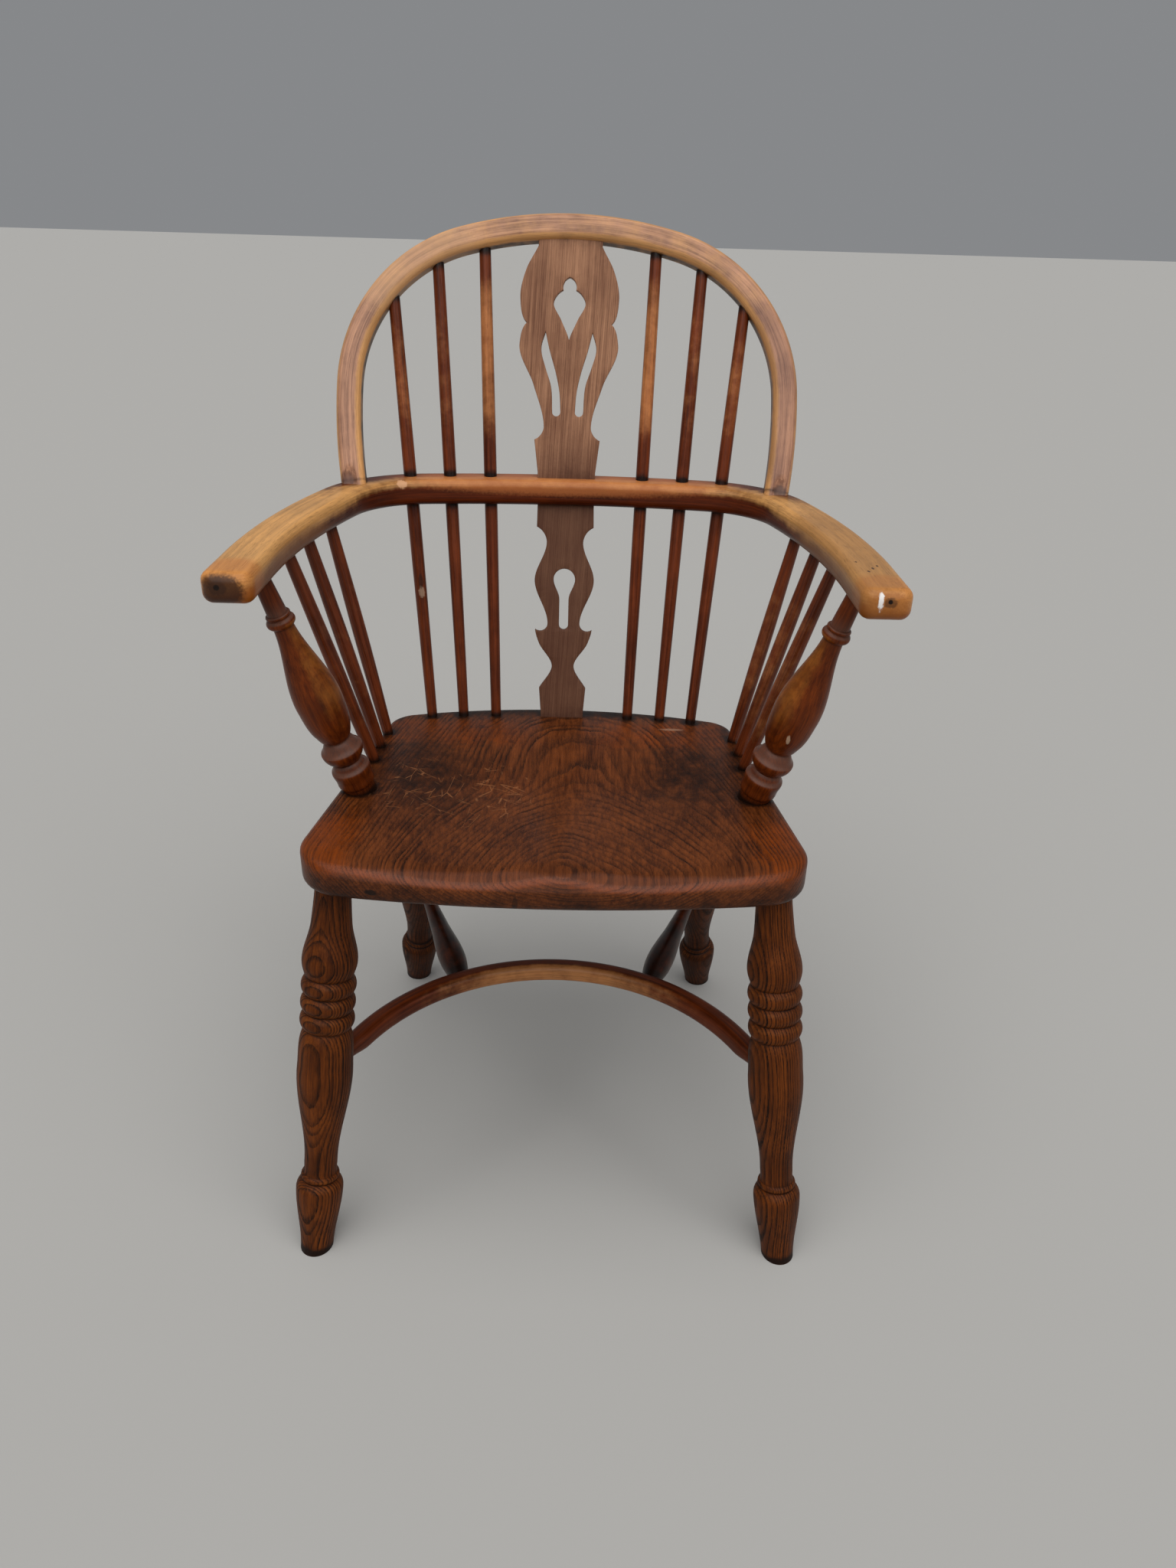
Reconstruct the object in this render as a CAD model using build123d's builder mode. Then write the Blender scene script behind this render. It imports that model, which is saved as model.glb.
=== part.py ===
"""Windsor armchair: turned legs, crinoline stretcher, arm bow, back hoop, spindles and fretted splats.

Millimetres. +Z is up, the sitter faces -Y, and the chair stands on z = 0.
The origin is on the floor, under the middle of the chair's overall width and depth.
"""

import os
from math import acos, cos, degrees, exp, radians, sin, sqrt, tan

from build123d import *

os.makedirs("parts", exist_ok=True)

# Room for glue: round a tenon, and beyond its end.
glue_gap = 0.15
end_gap = 0.3

# The chair's lengthwise layout: how far the front feet stand before the origin.
front_reach = 232.0

# Seat: a D-shaped board that falls slightly to the back.
seat_front_top = 408.0
seat_thickness = 35.0
seat_fall = 8.0
seat_depth = 353.0
seat_front_y = 23.0 - front_reach
seat_back_y = seat_front_y + seat_depth
seat_front_half = 221.0
seat_front_bow = 19.0
seat_back_half = 178.0
seat_back_bow = 29.0
seat_front_corner = 42.0
seat_back_corner = 30.0
seat_rim_round = 6.0
seat_under_round = 8.0
dish_depth = 13.0
dish_front_share = 0.62
dish_floor_share = 0.35
dish_lip_length = 176.0
dish_border = 30.0
dish_back_border = 52.0
dish_back_slope = 130.0
pommel_height = 8.0
pommel_half = 46.0
pommel_length = 190.0

# Legs: centre of each foot on the floor, and where its axis meets the underside of the seat.
front_foot = (221.4, seat_front_y - 23.0)
front_head = (191.0, seat_front_y + 57.0)
rear_foot = (181.0, seat_back_y + 45.0)
rear_head = (144.0, seat_back_y - 76.0)
leg_tenon = 26.0
leg_tenon_radius = 14.0
leg_tenon_lead = 10.0
foot_radius = 15.2
foot_below = 8.0
bulb_at = 66.0
bulb_radius = 21.8
bulb_top_at = 76.5
bulb_top_radius = 16.6
collar_at = 79.5
collar_radius = 17.6
collar_half = 3.0
neck_at = 94.0
neck_radius = 15.4
baluster_at = 196.0
baluster_radius = 25.0
ring_groove_radius = 20.5
ring_radius = 24.5
ring_pitch = 17.1
rings_from = 233.2
ring_count = 3
swell_after_rings = 8.0
swell_radius = 23.0
taper_at = 340.0
taper_radius = 15.8

# Crinoline stretcher: a level circular bow with straight ends, between the front legs.
crinoline_z = 182.0
crinoline_back_y = seat_front_y + 173.0
crinoline_width = 20.0
crinoline_height = 19.0
crinoline_round = 7.0
crinoline_turn = 62.0
crinoline_tenon_radius = 7.5
crinoline_taper = 26.0
short_of_axis = 7.0

# Spurs: turned stretchers from the crinoline back to the rear legs.
spur_half_spread = 95.0
spur_front_tenon_radius = 6.0
spur_front_start = 1.5
spur_shoulder_radius = 8.5
spur_shoulder_at = 5.0
spur_front_tenon = 15.0
spur_bulb_radius = 13.0
spur_bulb_at = 30.0
spur_waist_radius = 9.6
spur_waist_at = 105.0
spur_rear_radius = 7.0
spur_rear_lead = 32.0

# Arm bow: a level bow drawn on its centre line, from the back round to the hands.
bow_bottom = 616.0
bow_thickness = 25.0
bow_half_width = 20.0
bow_back_y = seat_back_y + 36.0
bow_back_radius = 950.0
bow_back_turn = 8.65
bow_corner_radius = 90.0
bow_side_radius = 720.0
bow_side_turn = 17.0
hand_length = 66.0
hand_corner = 12.0
bow_round = 8.0
bow_top = bow_bottom + bow_thickness
bow_corner_turn = 90.0 - bow_back_turn - bow_side_turn

# Back hoop: three arcs a side, in a plane that leans back from the corners of the arm bow.
hoop_lean = 23.5
hoop_foot_y = seat_back_y - 7.0
hoop_rise = 246.0
hoop_half_width = 12.0
hoop_depth = 21.5
hoop_top_radius = 378.0
hoop_top_turn = 16.0
hoop_shoulder_radius = 149.5
hoop_shoulder_turn = 71.5
hoop_side_radius = 508.0
hoop_foot_over = 20.0
hoop_round = 7.0
hoop_tenon_radius = 7.5

# Back splats: two boards in one leaning plane. Points are half width, then height up the board, drawn on
# boards of the two lengths below: the heights stretch with the room between seat, bow and hoop.
back_lean = 13.2
splat_forward = 1.0
splat_thickness = 8.0
splat_tongue = 11.0
splat_straight = 5.0
lower_drawn_length = 221.4
upper_drawn_length = 220.4
lower_foot_half = 22.7
lower_base = (24.7, 30.5)
lower_neck = (11.6, 54.0)
lower_barb = (29.8, 92.6)
lower_barb_belly = (26.0, 79.5)
lower_barb_hollow = (23.5, 91.0)
lower_waist = (16.8, 99.0)
lower_oval = (30.8, 144.7)
lower_cove = (18.8, 183.0)
lower_cove_hollow = (21.3, 191.0)
lower_corner = (29.2, 198.0)
lower_head_half = 28.8
key_eye_at = 144.8
key_eye_radius = 11.2
key_slot_half = 4.8
key_slot_top = 124.0
key_slot_end = 93.0
upper_foot_half = 29.2
upper_flare = (33.0, 36.5)
upper_flare_hollow = (26.8, 41.0)
upper_waist = (23.7, 48.0)
upper_taper = (34.3, 88.0)
upper_low_lobe = (48.7, 127.0)
upper_notch = (41.7, 146.0)
upper_high_lobe = (48.3, 168.0)
upper_brow = (42.8, 194.0)
upper_head_half = 31.0
tear_point_at = 131.0
tear_flank = (8.0, 149.0)
tear_shoulder = (15.5, 165.5)
tear_neck = (6.2, 176.5)
tear_top_at = 188.0
slot_tip = (23.2, 138.0)
slot_outside = ((27.2, 124.0), (22.5, 104.0), (17.4, 89.0))
slot_inside = ((19.2, 122.0), (12.4, 99.7), (8.6, 82.0))
slot_foot_at = 63.2
slot_foot_x = 11.4
slot_foot_radius = 4.1

# Long spindles: x and y on the seat, and x where they end inside the hoop.
long_spindles = {
    "outer": (138.0, seat_back_y - 30.0, 172.0),
    "middle": (105.0, seat_back_y - 25.0, 129.0),
    "inner": (70.5, seat_back_y - 22.5, 83.5),
}
long_seat_radius = 5.2
long_bow_radius = 6.5
long_hoop_radius = 5.6
long_thickest_share = 0.53
seat_socket = 20.0

# Short spindles: x and y on the seat, then on the underside of the arm.
short_spindles = {
    "front": (180.5, seat_back_y - 142.0, 237.0, seat_back_y - 169.0),
    "middle": (180.0, seat_back_y - 110.0, 230.5, seat_back_y - 122.0),
    "rear": (178.0, seat_back_y - 77.0, 220.5, seat_back_y - 72.0),
}
short_end_radius = 5.2
short_middle_radius = 6.4
arm_socket = 15.0

# Arm posts: x and y on the seat, then on the underside of the arm. Distances run up from the seat.
post_seat = (182.6, seat_back_y - 203.0)
post_arm = (239.5, seat_back_y - 245.0)
post_foot_radius = 15.0
post_foot_length = 11.0
post_rings_at = (24.6, 48.0)
post_ring_radii = (17.6, 19.0)
post_ring_half = 11.7
post_groove_radius = 14.5
post_vase_at = 97.5
post_vase_radius = 20.0
post_bead_at = 184.0
post_bead_radius = 12.2
post_bead_half = 5.0
post_neck_radius = 8.6
post_arm_radius = 7.0
post_arm_lead = 6.0


def seat_top(y):
    """Height of the undished seat top at y."""
    return seat_front_top - seat_fall * (y - seat_front_y) / seat_depth


def seat_under(y):
    """Height of the seat's underside at y."""
    return seat_top(y) - seat_thickness


def point_on(start, end, distance):
    """The point that far from start, on the line to end."""
    return start + (end - start).normalized() * distance


def turning(start, end, outline, ease=0.0):
    """A turned solid on the line from start to end. The outline is drawn along x, with its radius along y."""
    along = (end - start).normalized()
    side = along.cross(Vector(0, 1, 0)).normalized()
    lathe_plane = Plane(origin=start, x_dir=along, z_dir=along.cross(side))
    with BuildPart() as turned:
        with BuildSketch(lathe_plane):
            with BuildLine():
                outline((end - start).length, ease)
            make_face()
        revolve(axis=Axis(start, along))
    return turned.part


def close_outline(first, last):
    """Close a turned outline down to the lathe's axis."""
    Polyline(first, (first.X, 0), (last.X, 0), last)


def on_side(side, x, y, z):
    """A point on the chair's left (side -1) or right (side 1)."""
    return Vector(side * x, y, z)


def ramp(value):
    """A smooth step from 0 to 1."""
    held = min(max(value, 0.0), 1.0)
    return held * held * (3 - 2 * held)


def dish(x, y):
    """How deep the seat is hollowed at x, y."""
    from_front = y - seat_front_y
    half = seat_front_half + (seat_back_half - seat_front_half) * from_front / seat_depth
    floor_half = dish_floor_share * half
    across = 1 - ramp((abs(x) - floor_half) / (half - dish_border - floor_half))
    back = ramp((seat_depth - dish_back_border - from_front) / dish_back_slope)
    front = dish_front_share + (1 - dish_front_share) * ramp(from_front / dish_lip_length)
    pommel = exp(-((x / pommel_half) ** 2)) * (1 - ramp(from_front / pommel_length))
    return dish_depth * across * back * front - pommel_height * pommel


def dished_surface(columns=29, rows=27, margin=30.0):
    """The hollowed top of the seat as one smooth face, a little larger than the seat."""
    rows_of_points = []
    for row in range(rows):
        y = seat_front_y + seat_depth + margin - (seat_depth + 2 * margin) * row / (rows - 1)
        across = [(seat_front_half + margin) * (2 * column / (columns - 1) - 1) for column in range(columns)]
        rows_of_points.append([Vector(x, y, seat_top(y) - dish(x, y)) for x in across])
    return Face.make_surface_from_array_of_points(rows_of_points)


def leg_line(side, foot, head):
    """The axis of a leg, from its foot on the floor to the end of its tenon in the seat."""
    on_floor = on_side(side, foot[0], foot[1], 0)
    at_seat = on_side(side, head[0], head[1], seat_under(head[1]))
    return on_floor, point_on(on_floor, at_seat, (at_seat - on_floor).length + leg_tenon)


def leg_outline(length, ease):
    """Half of a leg's turning: bulb foot, collar, baluster, rings and a long taper to the tenon."""
    foot = Spline(
        (-foot_below, foot_radius),
        (0, foot_radius),
        (bulb_at, bulb_radius),
        tangents=((1, 0), (1, 0)),
    )
    shoulder = Spline(foot @ 1, (bulb_top_at, bulb_top_radius), tangents=((1, 0), (0.5, -1)))
    collar_end = (collar_at + collar_half, bulb_top_radius)
    collar = ThreePointArc(shoulder @ 1, (collar_at, collar_radius), collar_end)
    baluster = Spline(
        collar @ 1,
        (neck_at, neck_radius),
        (baluster_at, baluster_radius),
        (rings_from, ring_groove_radius),
        tangents=((1, -0.3), (1, -0.5)),
    )
    groove = baluster @ 1
    for ring in range(ring_count):
        middle = rings_from + (ring + 0.5) * ring_pitch
        ring_end = (rings_from + (ring + 1) * ring_pitch, ring_groove_radius)
        groove = ThreePointArc(groove, (middle, ring_radius), ring_end) @ 1
    taper = Spline(
        groove,
        (groove.X + swell_after_rings, swell_radius),
        (taper_at, taper_radius),
        (length - leg_tenon - leg_tenon_lead, leg_tenon_radius),
        tangents=((1, 0.8), (1, 0)),
    )
    tenon = Line(taper @ 1, (length, leg_tenon_radius))
    close_outline(foot @ 0, tenon @ 1)


legs = {
    "front_left_leg": (-1, front_foot, front_head),
    "front_right_leg": (1, front_foot, front_head),
    "rear_left_leg": (-1, rear_foot, rear_head),
    "rear_right_leg": (1, rear_foot, rear_head),
}


def hoop_point(across, up):
    """A point of the hoop's middle plane."""
    lean = radians(hoop_lean)
    return Vector(across, hoop_foot_y + up * sin(lean), bow_top + up * cos(lean))


def hoop_centre_height(x):
    """How far up the hoop's plane its centre line lies at x, in its top or shoulder arc."""
    top_turn = radians(hoop_top_turn)
    top_centre = hoop_rise - hoop_top_radius
    if abs(x) < hoop_top_radius * sin(top_turn):
        return top_centre + sqrt(hoop_top_radius**2 - x**2)
    step = hoop_top_radius - hoop_shoulder_radius
    shoulder_x = step * sin(top_turn)
    return top_centre + step * cos(top_turn) + sqrt(hoop_shoulder_radius**2 - (abs(x) - shoulder_x) ** 2)


def hoop_side_centre():
    """The centre of the right-hand side arc, across and up the hoop's plane."""
    top_turn = radians(hoop_top_turn)
    side_from = radians(hoop_top_turn + hoop_shoulder_turn)
    first_step = hoop_top_radius - hoop_shoulder_radius
    second_step = hoop_shoulder_radius - hoop_side_radius
    across = first_step * sin(top_turn) + second_step * sin(side_from)
    return across, hoop_rise - hoop_top_radius + first_step * cos(top_turn) + second_step * cos(side_from)


def hoop_foot_x():
    """Half the distance between the hoop's feet, on its centre line where it meets the arm bow."""
    across, up = hoop_side_centre()
    return across + sqrt(hoop_side_radius**2 - up**2)


def hoop_side_turn():
    """The turn that takes a side arc past the top of the arm bow, where its foot is cut level."""
    across, up = hoop_side_centre()
    end_angle = degrees(acos(-(up + hoop_foot_over) / hoop_side_radius))
    return end_angle - hoop_top_turn - hoop_shoulder_turn


def hoop_tenon_line(side):
    """The axis of a hoop tenon, from inside the foot to below the arm bow."""
    foot_x = side * hoop_foot_x()
    below = hoop_tenon_radius + bow_thickness / cos(radians(hoop_lean))
    return hoop_point(foot_x, hoop_tenon_radius), hoop_point(foot_x, -below)


def long_spindle_line(side, seat_x, seat_y, hoop_x):
    """A long spindle's axis, from the bottom of its seat socket to the hoop's centre line."""
    on_seat = on_side(side, seat_x, seat_y, seat_top(seat_y))
    in_hoop = hoop_point(side * hoop_x, hoop_centre_height(hoop_x))
    return point_on(on_seat, in_hoop, -seat_socket), in_hoop


def long_spindle_outline(length, ease):
    """Half of a long spindle: thickest where it passes through the arm bow."""
    over = end_gap if ease else 0
    edge = Spline(
        (-over, long_seat_radius + ease),
        (long_thickest_share * length, long_bow_radius + ease),
        (length + over, long_hoop_radius + ease),
    )
    close_outline(edge @ 0, edge @ 1)


def long_spindle_turning(side, place, ease=0.0):
    """A long spindle, or the bores that it needs in seat, bow and hoop."""
    return turning(*long_spindle_line(side, *place), long_spindle_outline, ease)


def short_spindle_line(side, seat_x, seat_y, arm_x, arm_y):
    """A short spindle's axis, from the bottom of its seat socket to the bottom of its arm socket."""
    on_seat = on_side(side, seat_x, seat_y, seat_top(seat_y))
    on_arm = on_side(side, arm_x, arm_y, bow_bottom)
    return point_on(on_seat, on_arm, -seat_socket), point_on(on_arm, on_seat, -arm_socket)


def short_spindle_outline(length, ease):
    """Half of a short spindle: a slight swelling between its ends."""
    over = end_gap if ease else 0
    edge = Spline(
        (-over, short_end_radius + ease),
        (length / 2, short_middle_radius + ease),
        (length + over, short_end_radius + ease),
    )
    close_outline(edge @ 0, edge @ 1)


def short_spindle_turning(side, place, ease=0.0):
    """A short spindle, or the bores that it needs in seat and arm."""
    return turning(*short_spindle_line(side, *place), short_spindle_outline, ease)


def post_line(side):
    """An arm post's axis, from the bottom of its seat socket to the bottom of its arm socket."""
    on_seat = on_side(side, post_seat[0], post_seat[1], seat_top(post_seat[1]))
    on_arm = on_side(side, post_arm[0], post_arm[1], bow_bottom)
    return point_on(on_seat, on_arm, -seat_socket), point_on(on_arm, on_seat, -arm_socket)


def post_outline(length, ease):
    """Half of an arm post: two rings, a long vase, a bead and a plain tenon at each end."""
    base = seat_socket
    foot = Line((0, post_foot_radius), (base + post_foot_length, post_foot_radius))
    last = Line(foot @ 1, (base + post_rings_at[0] - post_ring_half, post_groove_radius)) @ 1
    for ring_at, ring_radius in zip(post_rings_at, post_ring_radii):
        ring_end = (base + ring_at + post_ring_half, post_groove_radius)
        last = ThreePointArc(last, (base + ring_at, ring_radius), ring_end) @ 1
    vase = Spline(
        last,
        (base + post_vase_at, post_vase_radius),
        (base + post_bead_at - post_bead_half, post_neck_radius),
        tangents=((0.8, 0.8), (1, -0.03)),
    )
    bead_end = (base + post_bead_at + post_bead_half, post_neck_radius)
    bead = ThreePointArc(vase @ 1, (base + post_bead_at, post_bead_radius), bead_end)
    neck = Line(bead @ 1, (length - arm_socket - post_arm_lead, post_arm_radius))
    head = Line(neck @ 1, (length, post_arm_radius))
    close_outline(foot @ 0, head @ 1)


def plain_outline(radius):
    """Half of a plain round socket as long as its line."""

    def outline(length, ease):
        edge = Line((-end_gap, radius + ease), (length + end_gap, radius + ease))
        close_outline(edge @ 0, edge @ 1)

    return outline


def leg_point(foot, head, z):
    """Where the axis of a right-hand leg passes height z."""
    share = z / seat_under(head[1])
    return Vector(foot[0] + share * (head[0] - foot[0]), foot[1] + share * (head[1] - foot[1]), z)


# The crinoline's arc and straight ends, from the front legs' axes and the bow's back.
crinoline_leg = leg_point(front_foot, front_head, crinoline_z)
crinoline_sweep = radians(crinoline_turn)
crinoline_set_back = crinoline_back_y - crinoline_leg.Y
crinoline_radius = (crinoline_leg.X * sin(crinoline_sweep) - crinoline_set_back * cos(crinoline_sweep)) / (
    1 - cos(crinoline_sweep)
)
crinoline_centre_y = crinoline_back_y - crinoline_radius


def crinoline_end_line(side):
    """The straight end of the crinoline, from its arc to the end of its tenon in the leg."""
    arc_end = on_side(
        side,
        crinoline_radius * sin(crinoline_sweep),
        crinoline_centre_y + crinoline_radius * cos(crinoline_sweep),
        crinoline_z,
    )
    in_leg = on_side(side, crinoline_leg.X, crinoline_leg.Y, crinoline_z)
    return arc_end, point_on(in_leg, arc_end, short_of_axis)


def spur_line(side):
    """A spur's axis, from the middle of the crinoline to the end of its tenon in the rear leg."""
    spur_y = crinoline_centre_y + sqrt(crinoline_radius**2 - spur_half_spread**2)
    in_crinoline = on_side(side, spur_half_spread, spur_y, crinoline_z)
    rear = leg_point(rear_foot, rear_head, crinoline_z)
    in_leg = on_side(side, rear.X, rear.Y, rear.Z)
    return in_crinoline, point_on(in_leg, in_crinoline, short_of_axis)


def spur_outline(length, ease):
    """Half of a spur: a bulb near the crinoline, a slim waist and a plain tenon in the rear leg."""
    body = Spline(
        (spur_shoulder_at, spur_shoulder_radius),
        (spur_bulb_at, spur_bulb_radius),
        (spur_waist_at, spur_waist_radius),
        (length - spur_rear_lead, spur_rear_radius),
        tangents=((1, 0.2), (1, 0)),
    )
    tenon = Line(body @ 1, (length, spur_rear_radius))
    close_outline(body @ 0, tenon @ 1)


def splat_plane(y, z):
    """A plane that leans back as the splats do, with its y axis up the splat and its z axis to the front."""
    lean = radians(back_lean)
    return Plane(origin=(0, y, z), x_dir=(1, 0, 0), z_dir=(0, -cos(lean), sin(lean)))


# The splats' plane meets the bow just before its centre line, and the seat where it happens to come down.
splat_slope = tan(radians(back_lean))
splat_bow_y = bow_back_y - splat_forward
seat_slope = seat_fall / seat_depth
splat_seat_z = (seat_top(splat_bow_y - splat_slope * bow_top)) / (1 + seat_slope * splat_slope)
splat_seat_y = splat_bow_y - splat_slope * (bow_top - splat_seat_z)
upper_plane = splat_plane(splat_bow_y, bow_top)
lower_plane = splat_plane(splat_seat_y, splat_seat_z)
lower_length = (bow_bottom - splat_seat_z) / cos(radians(back_lean))
upper_length = (hoop_rise - hoop_half_width) * cos(radians(hoop_lean)) / cos(radians(back_lean))


def lower_at(half, height):
    """A point of the lower splat's outline."""
    return half, height * lower_length / lower_drawn_length


def upper_at(half, height):
    """A point of the upper splat's outline."""
    return half, height * upper_length / upper_drawn_length


def tongue(plane, half, low, high, ease):
    """A splat's flat tongue between two heights up its plane, or its mortise."""
    over = end_gap if ease else 0
    with BuildPart() as block:
        with BuildSketch(plane.offset(-splat_thickness / 2 - ease)):
            with Locations((0, (low + high) / 2)):
                Rectangle(2 * (half + ease), high - low + 2 * over)
        extrude(amount=splat_thickness + 2 * ease)
    return block.part


with BuildPart() as seat:
    with BuildSketch(Plane.XY) as seat_plan:
        back_y = seat_front_y + seat_depth
        corner_y = seat_front_y + seat_front_bow
        rear_corner_y = back_y - seat_back_bow
        with BuildLine():
            front_left = (-seat_front_half, corner_y)
            front = ThreePointArc(front_left, (0, seat_front_y), (seat_front_half, corner_y))
            right = Line(front @ 1, (seat_back_half, rear_corner_y))
            back = ThreePointArc(right @ 1, (0, back_y), (-seat_back_half, rear_corner_y))
            Line(back @ 1, front @ 0)
        make_face()
        fillet(seat_plan.vertices().group_by(Axis.Y)[0], seat_front_corner)
        fillet(seat_plan.vertices().group_by(Axis.Y)[-1], seat_back_corner)
    extrude(amount=seat_front_top + 2 * seat_thickness)
    under_plane = Plane(origin=(0, 0, seat_under(0)), x_dir=(1, 0, 0), z_dir=(0, seat_fall, seat_depth))
    split(bisect_by=under_plane, keep=Keep.TOP)
    fillet(seat.faces().sort_by(Axis.Z)[0].edges(), seat_under_round)
    split(bisect_by=dished_surface(), keep=Keep.BOTTOM)
    fillet(seat.faces().sort_by(Axis.Z)[-1].edges(), seat_rim_round)
    for side, foot, head in legs.values():
        leg_start, leg_end = leg_line(side, foot, head)
        add(turning(leg_start, leg_end, plain_outline(leg_tenon_radius), glue_gap), mode=Mode.SUBTRACT)
    for side in (-1, 1):
        for place in long_spindles.values():
            add(long_spindle_turning(side, place, glue_gap), mode=Mode.SUBTRACT)
        for place in short_spindles.values():
            add(short_spindle_turning(side, place, glue_gap), mode=Mode.SUBTRACT)
        post_start, post_end = post_line(side)
        post_top = point_on(post_start, post_end, seat_socket + post_foot_length)
        add(turning(post_start, post_top, plain_outline(post_foot_radius), glue_gap), mode=Mode.SUBTRACT)
    add(tongue(lower_plane, lower_foot_half, -splat_tongue, splat_straight, glue_gap), mode=Mode.SUBTRACT)
seat.part.label = "seat"
export_step(seat.part, "parts/seat.step")

for name, (side, foot, head) in legs.items():
    with BuildPart() as leg:
        add(turning(*leg_line(side, foot, head), leg_outline))
        split(bisect_by=Plane.XY, keep=Keep.TOP)
        if foot is front_foot:
            tenon_line = crinoline_end_line(side)
            tenon_radius = crinoline_tenon_radius
        else:
            tenon_line = spur_line(side)
            tenon_radius = spur_rear_radius
        add(turning(*tenon_line, plain_outline(tenon_radius), glue_gap), mode=Mode.SUBTRACT)
    leg.part.label = name
    export_step(leg.part, f"parts/{name}.step")

crinoline_out = Vector(sin(crinoline_sweep), cos(crinoline_sweep), 0)
crinoline_section = Plane(
    origin=(0, crinoline_centre_y, crinoline_z),
    x_dir=crinoline_out,
    z_dir=crinoline_out.cross(Vector(0, 0, 1)),
)
with BuildPart() as crinoline_blank:
    with BuildSketch(crinoline_section):
        with Locations((crinoline_radius, 0)):
            RectangleRounded(crinoline_width, crinoline_height, crinoline_round)
    revolve(axis=Axis((0, crinoline_centre_y, 0), (0, 0, 1)), revolution_arc=2 * crinoline_turn)
    for side in (-1, 1):
        arc_end, tenon_end = crinoline_end_line(side)
        along = (tenon_end - arc_end).normalized()
        outward = Vector(side * crinoline_out.X, crinoline_out.Y, 0)
        with BuildSketch(Plane(origin=arc_end, x_dir=outward, z_dir=along)):
            RectangleRounded(crinoline_width, crinoline_height, crinoline_round)
        tenon_plane = Plane(origin=arc_end + along * crinoline_taper, x_dir=outward, z_dir=along)
        with BuildSketch(tenon_plane):
            Circle(crinoline_tenon_radius)
        loft()
        with BuildSketch(tenon_plane):
            Circle(crinoline_tenon_radius)
        extrude(amount=(tenon_end - arc_end).length - crinoline_taper)

with BuildPart() as crinoline_stretcher:
    add(crinoline_blank.part)
    for side in (-1, 1):
        spur_start, spur_end = spur_line(side)
        socket_start = point_on(spur_start, spur_end, spur_front_start)
        socket_end = point_on(spur_start, spur_end, spur_front_tenon)
        add(
            turning(socket_start, socket_end, plain_outline(spur_front_tenon_radius), glue_gap),
            mode=Mode.SUBTRACT,
        )
crinoline_stretcher.part.label = "crinoline_stretcher"
export_step(crinoline_stretcher.part, "parts/crinoline_stretcher.step")

for side, name in ((-1, "left_spur"), (1, "right_spur")):
    spur_start, spur_end = spur_line(side)
    tenon_start = point_on(spur_start, spur_end, spur_front_start)
    with BuildPart() as spur:
        add(turning(spur_start, spur_end, spur_outline))
        add(crinoline_blank.part, mode=Mode.SUBTRACT)
        with BuildSketch(Plane(origin=tenon_start, z_dir=spur_end - spur_start)):
            Circle(spur_front_tenon_radius)
        extrude(amount=spur_front_tenon - spur_front_start)
    spur.part.label = name
    export_step(spur.part, f"parts/{name}.step")

with BuildPart() as arm_bow:
    with BuildSketch(Plane.XY.offset(bow_bottom)) as bow_plan:
        with BuildLine():
            hand_edges = []
            for step in (bow_half_width, -bow_half_width):
                back = JernArc((0, bow_back_y + step), (1, 0), bow_back_radius + step, -bow_back_turn)
                corner = JernArc(back @ 1, back % 1, bow_corner_radius + step, -bow_corner_turn)
                arm = JernArc(corner @ 1, corner % 1, bow_side_radius + step, -bow_side_turn)
                hand_edges.append(Line(arm @ 1, arm @ 1 - (0, hand_length)))
            Line(hand_edges[0] @ 1, hand_edges[1] @ 1)
            mirror(about=Plane.YZ)
        make_face()
        fillet(bow_plan.vertices().group_by(Axis.Y)[0], hand_corner)
    extrude(amount=bow_thickness)
    fillet(arm_bow.faces().sort_by(Axis.Z)[0].edges(), bow_round)
    fillet(arm_bow.faces().sort_by(Axis.Z)[-1].edges(), bow_round)
    for side in (-1, 1):
        for place in long_spindles.values():
            add(long_spindle_turning(side, place, glue_gap), mode=Mode.SUBTRACT)
        for place in short_spindles.values():
            add(short_spindle_turning(side, place, glue_gap), mode=Mode.SUBTRACT)
        post_start, post_end = post_line(side)
        post_shoulder = point_on(post_end, post_start, arm_socket + post_arm_lead)
        add(turning(post_shoulder, post_end, plain_outline(post_arm_radius), glue_gap), mode=Mode.SUBTRACT)
        tenon_line = hoop_tenon_line(side)
        add(turning(*tenon_line, plain_outline(hoop_tenon_radius), glue_gap), mode=Mode.SUBTRACT)
    add(tongue(upper_plane, upper_foot_half, -splat_tongue, splat_straight, glue_gap), mode=Mode.SUBTRACT)
    head_low = lower_length - splat_straight
    head_high = lower_length + splat_tongue
    add(tongue(lower_plane, lower_head_half, head_low, head_high, glue_gap), mode=Mode.SUBTRACT)
arm_bow.part.label = "arm_bow"
export_step(arm_bow.part, "parts/arm_bow.step")

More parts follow.
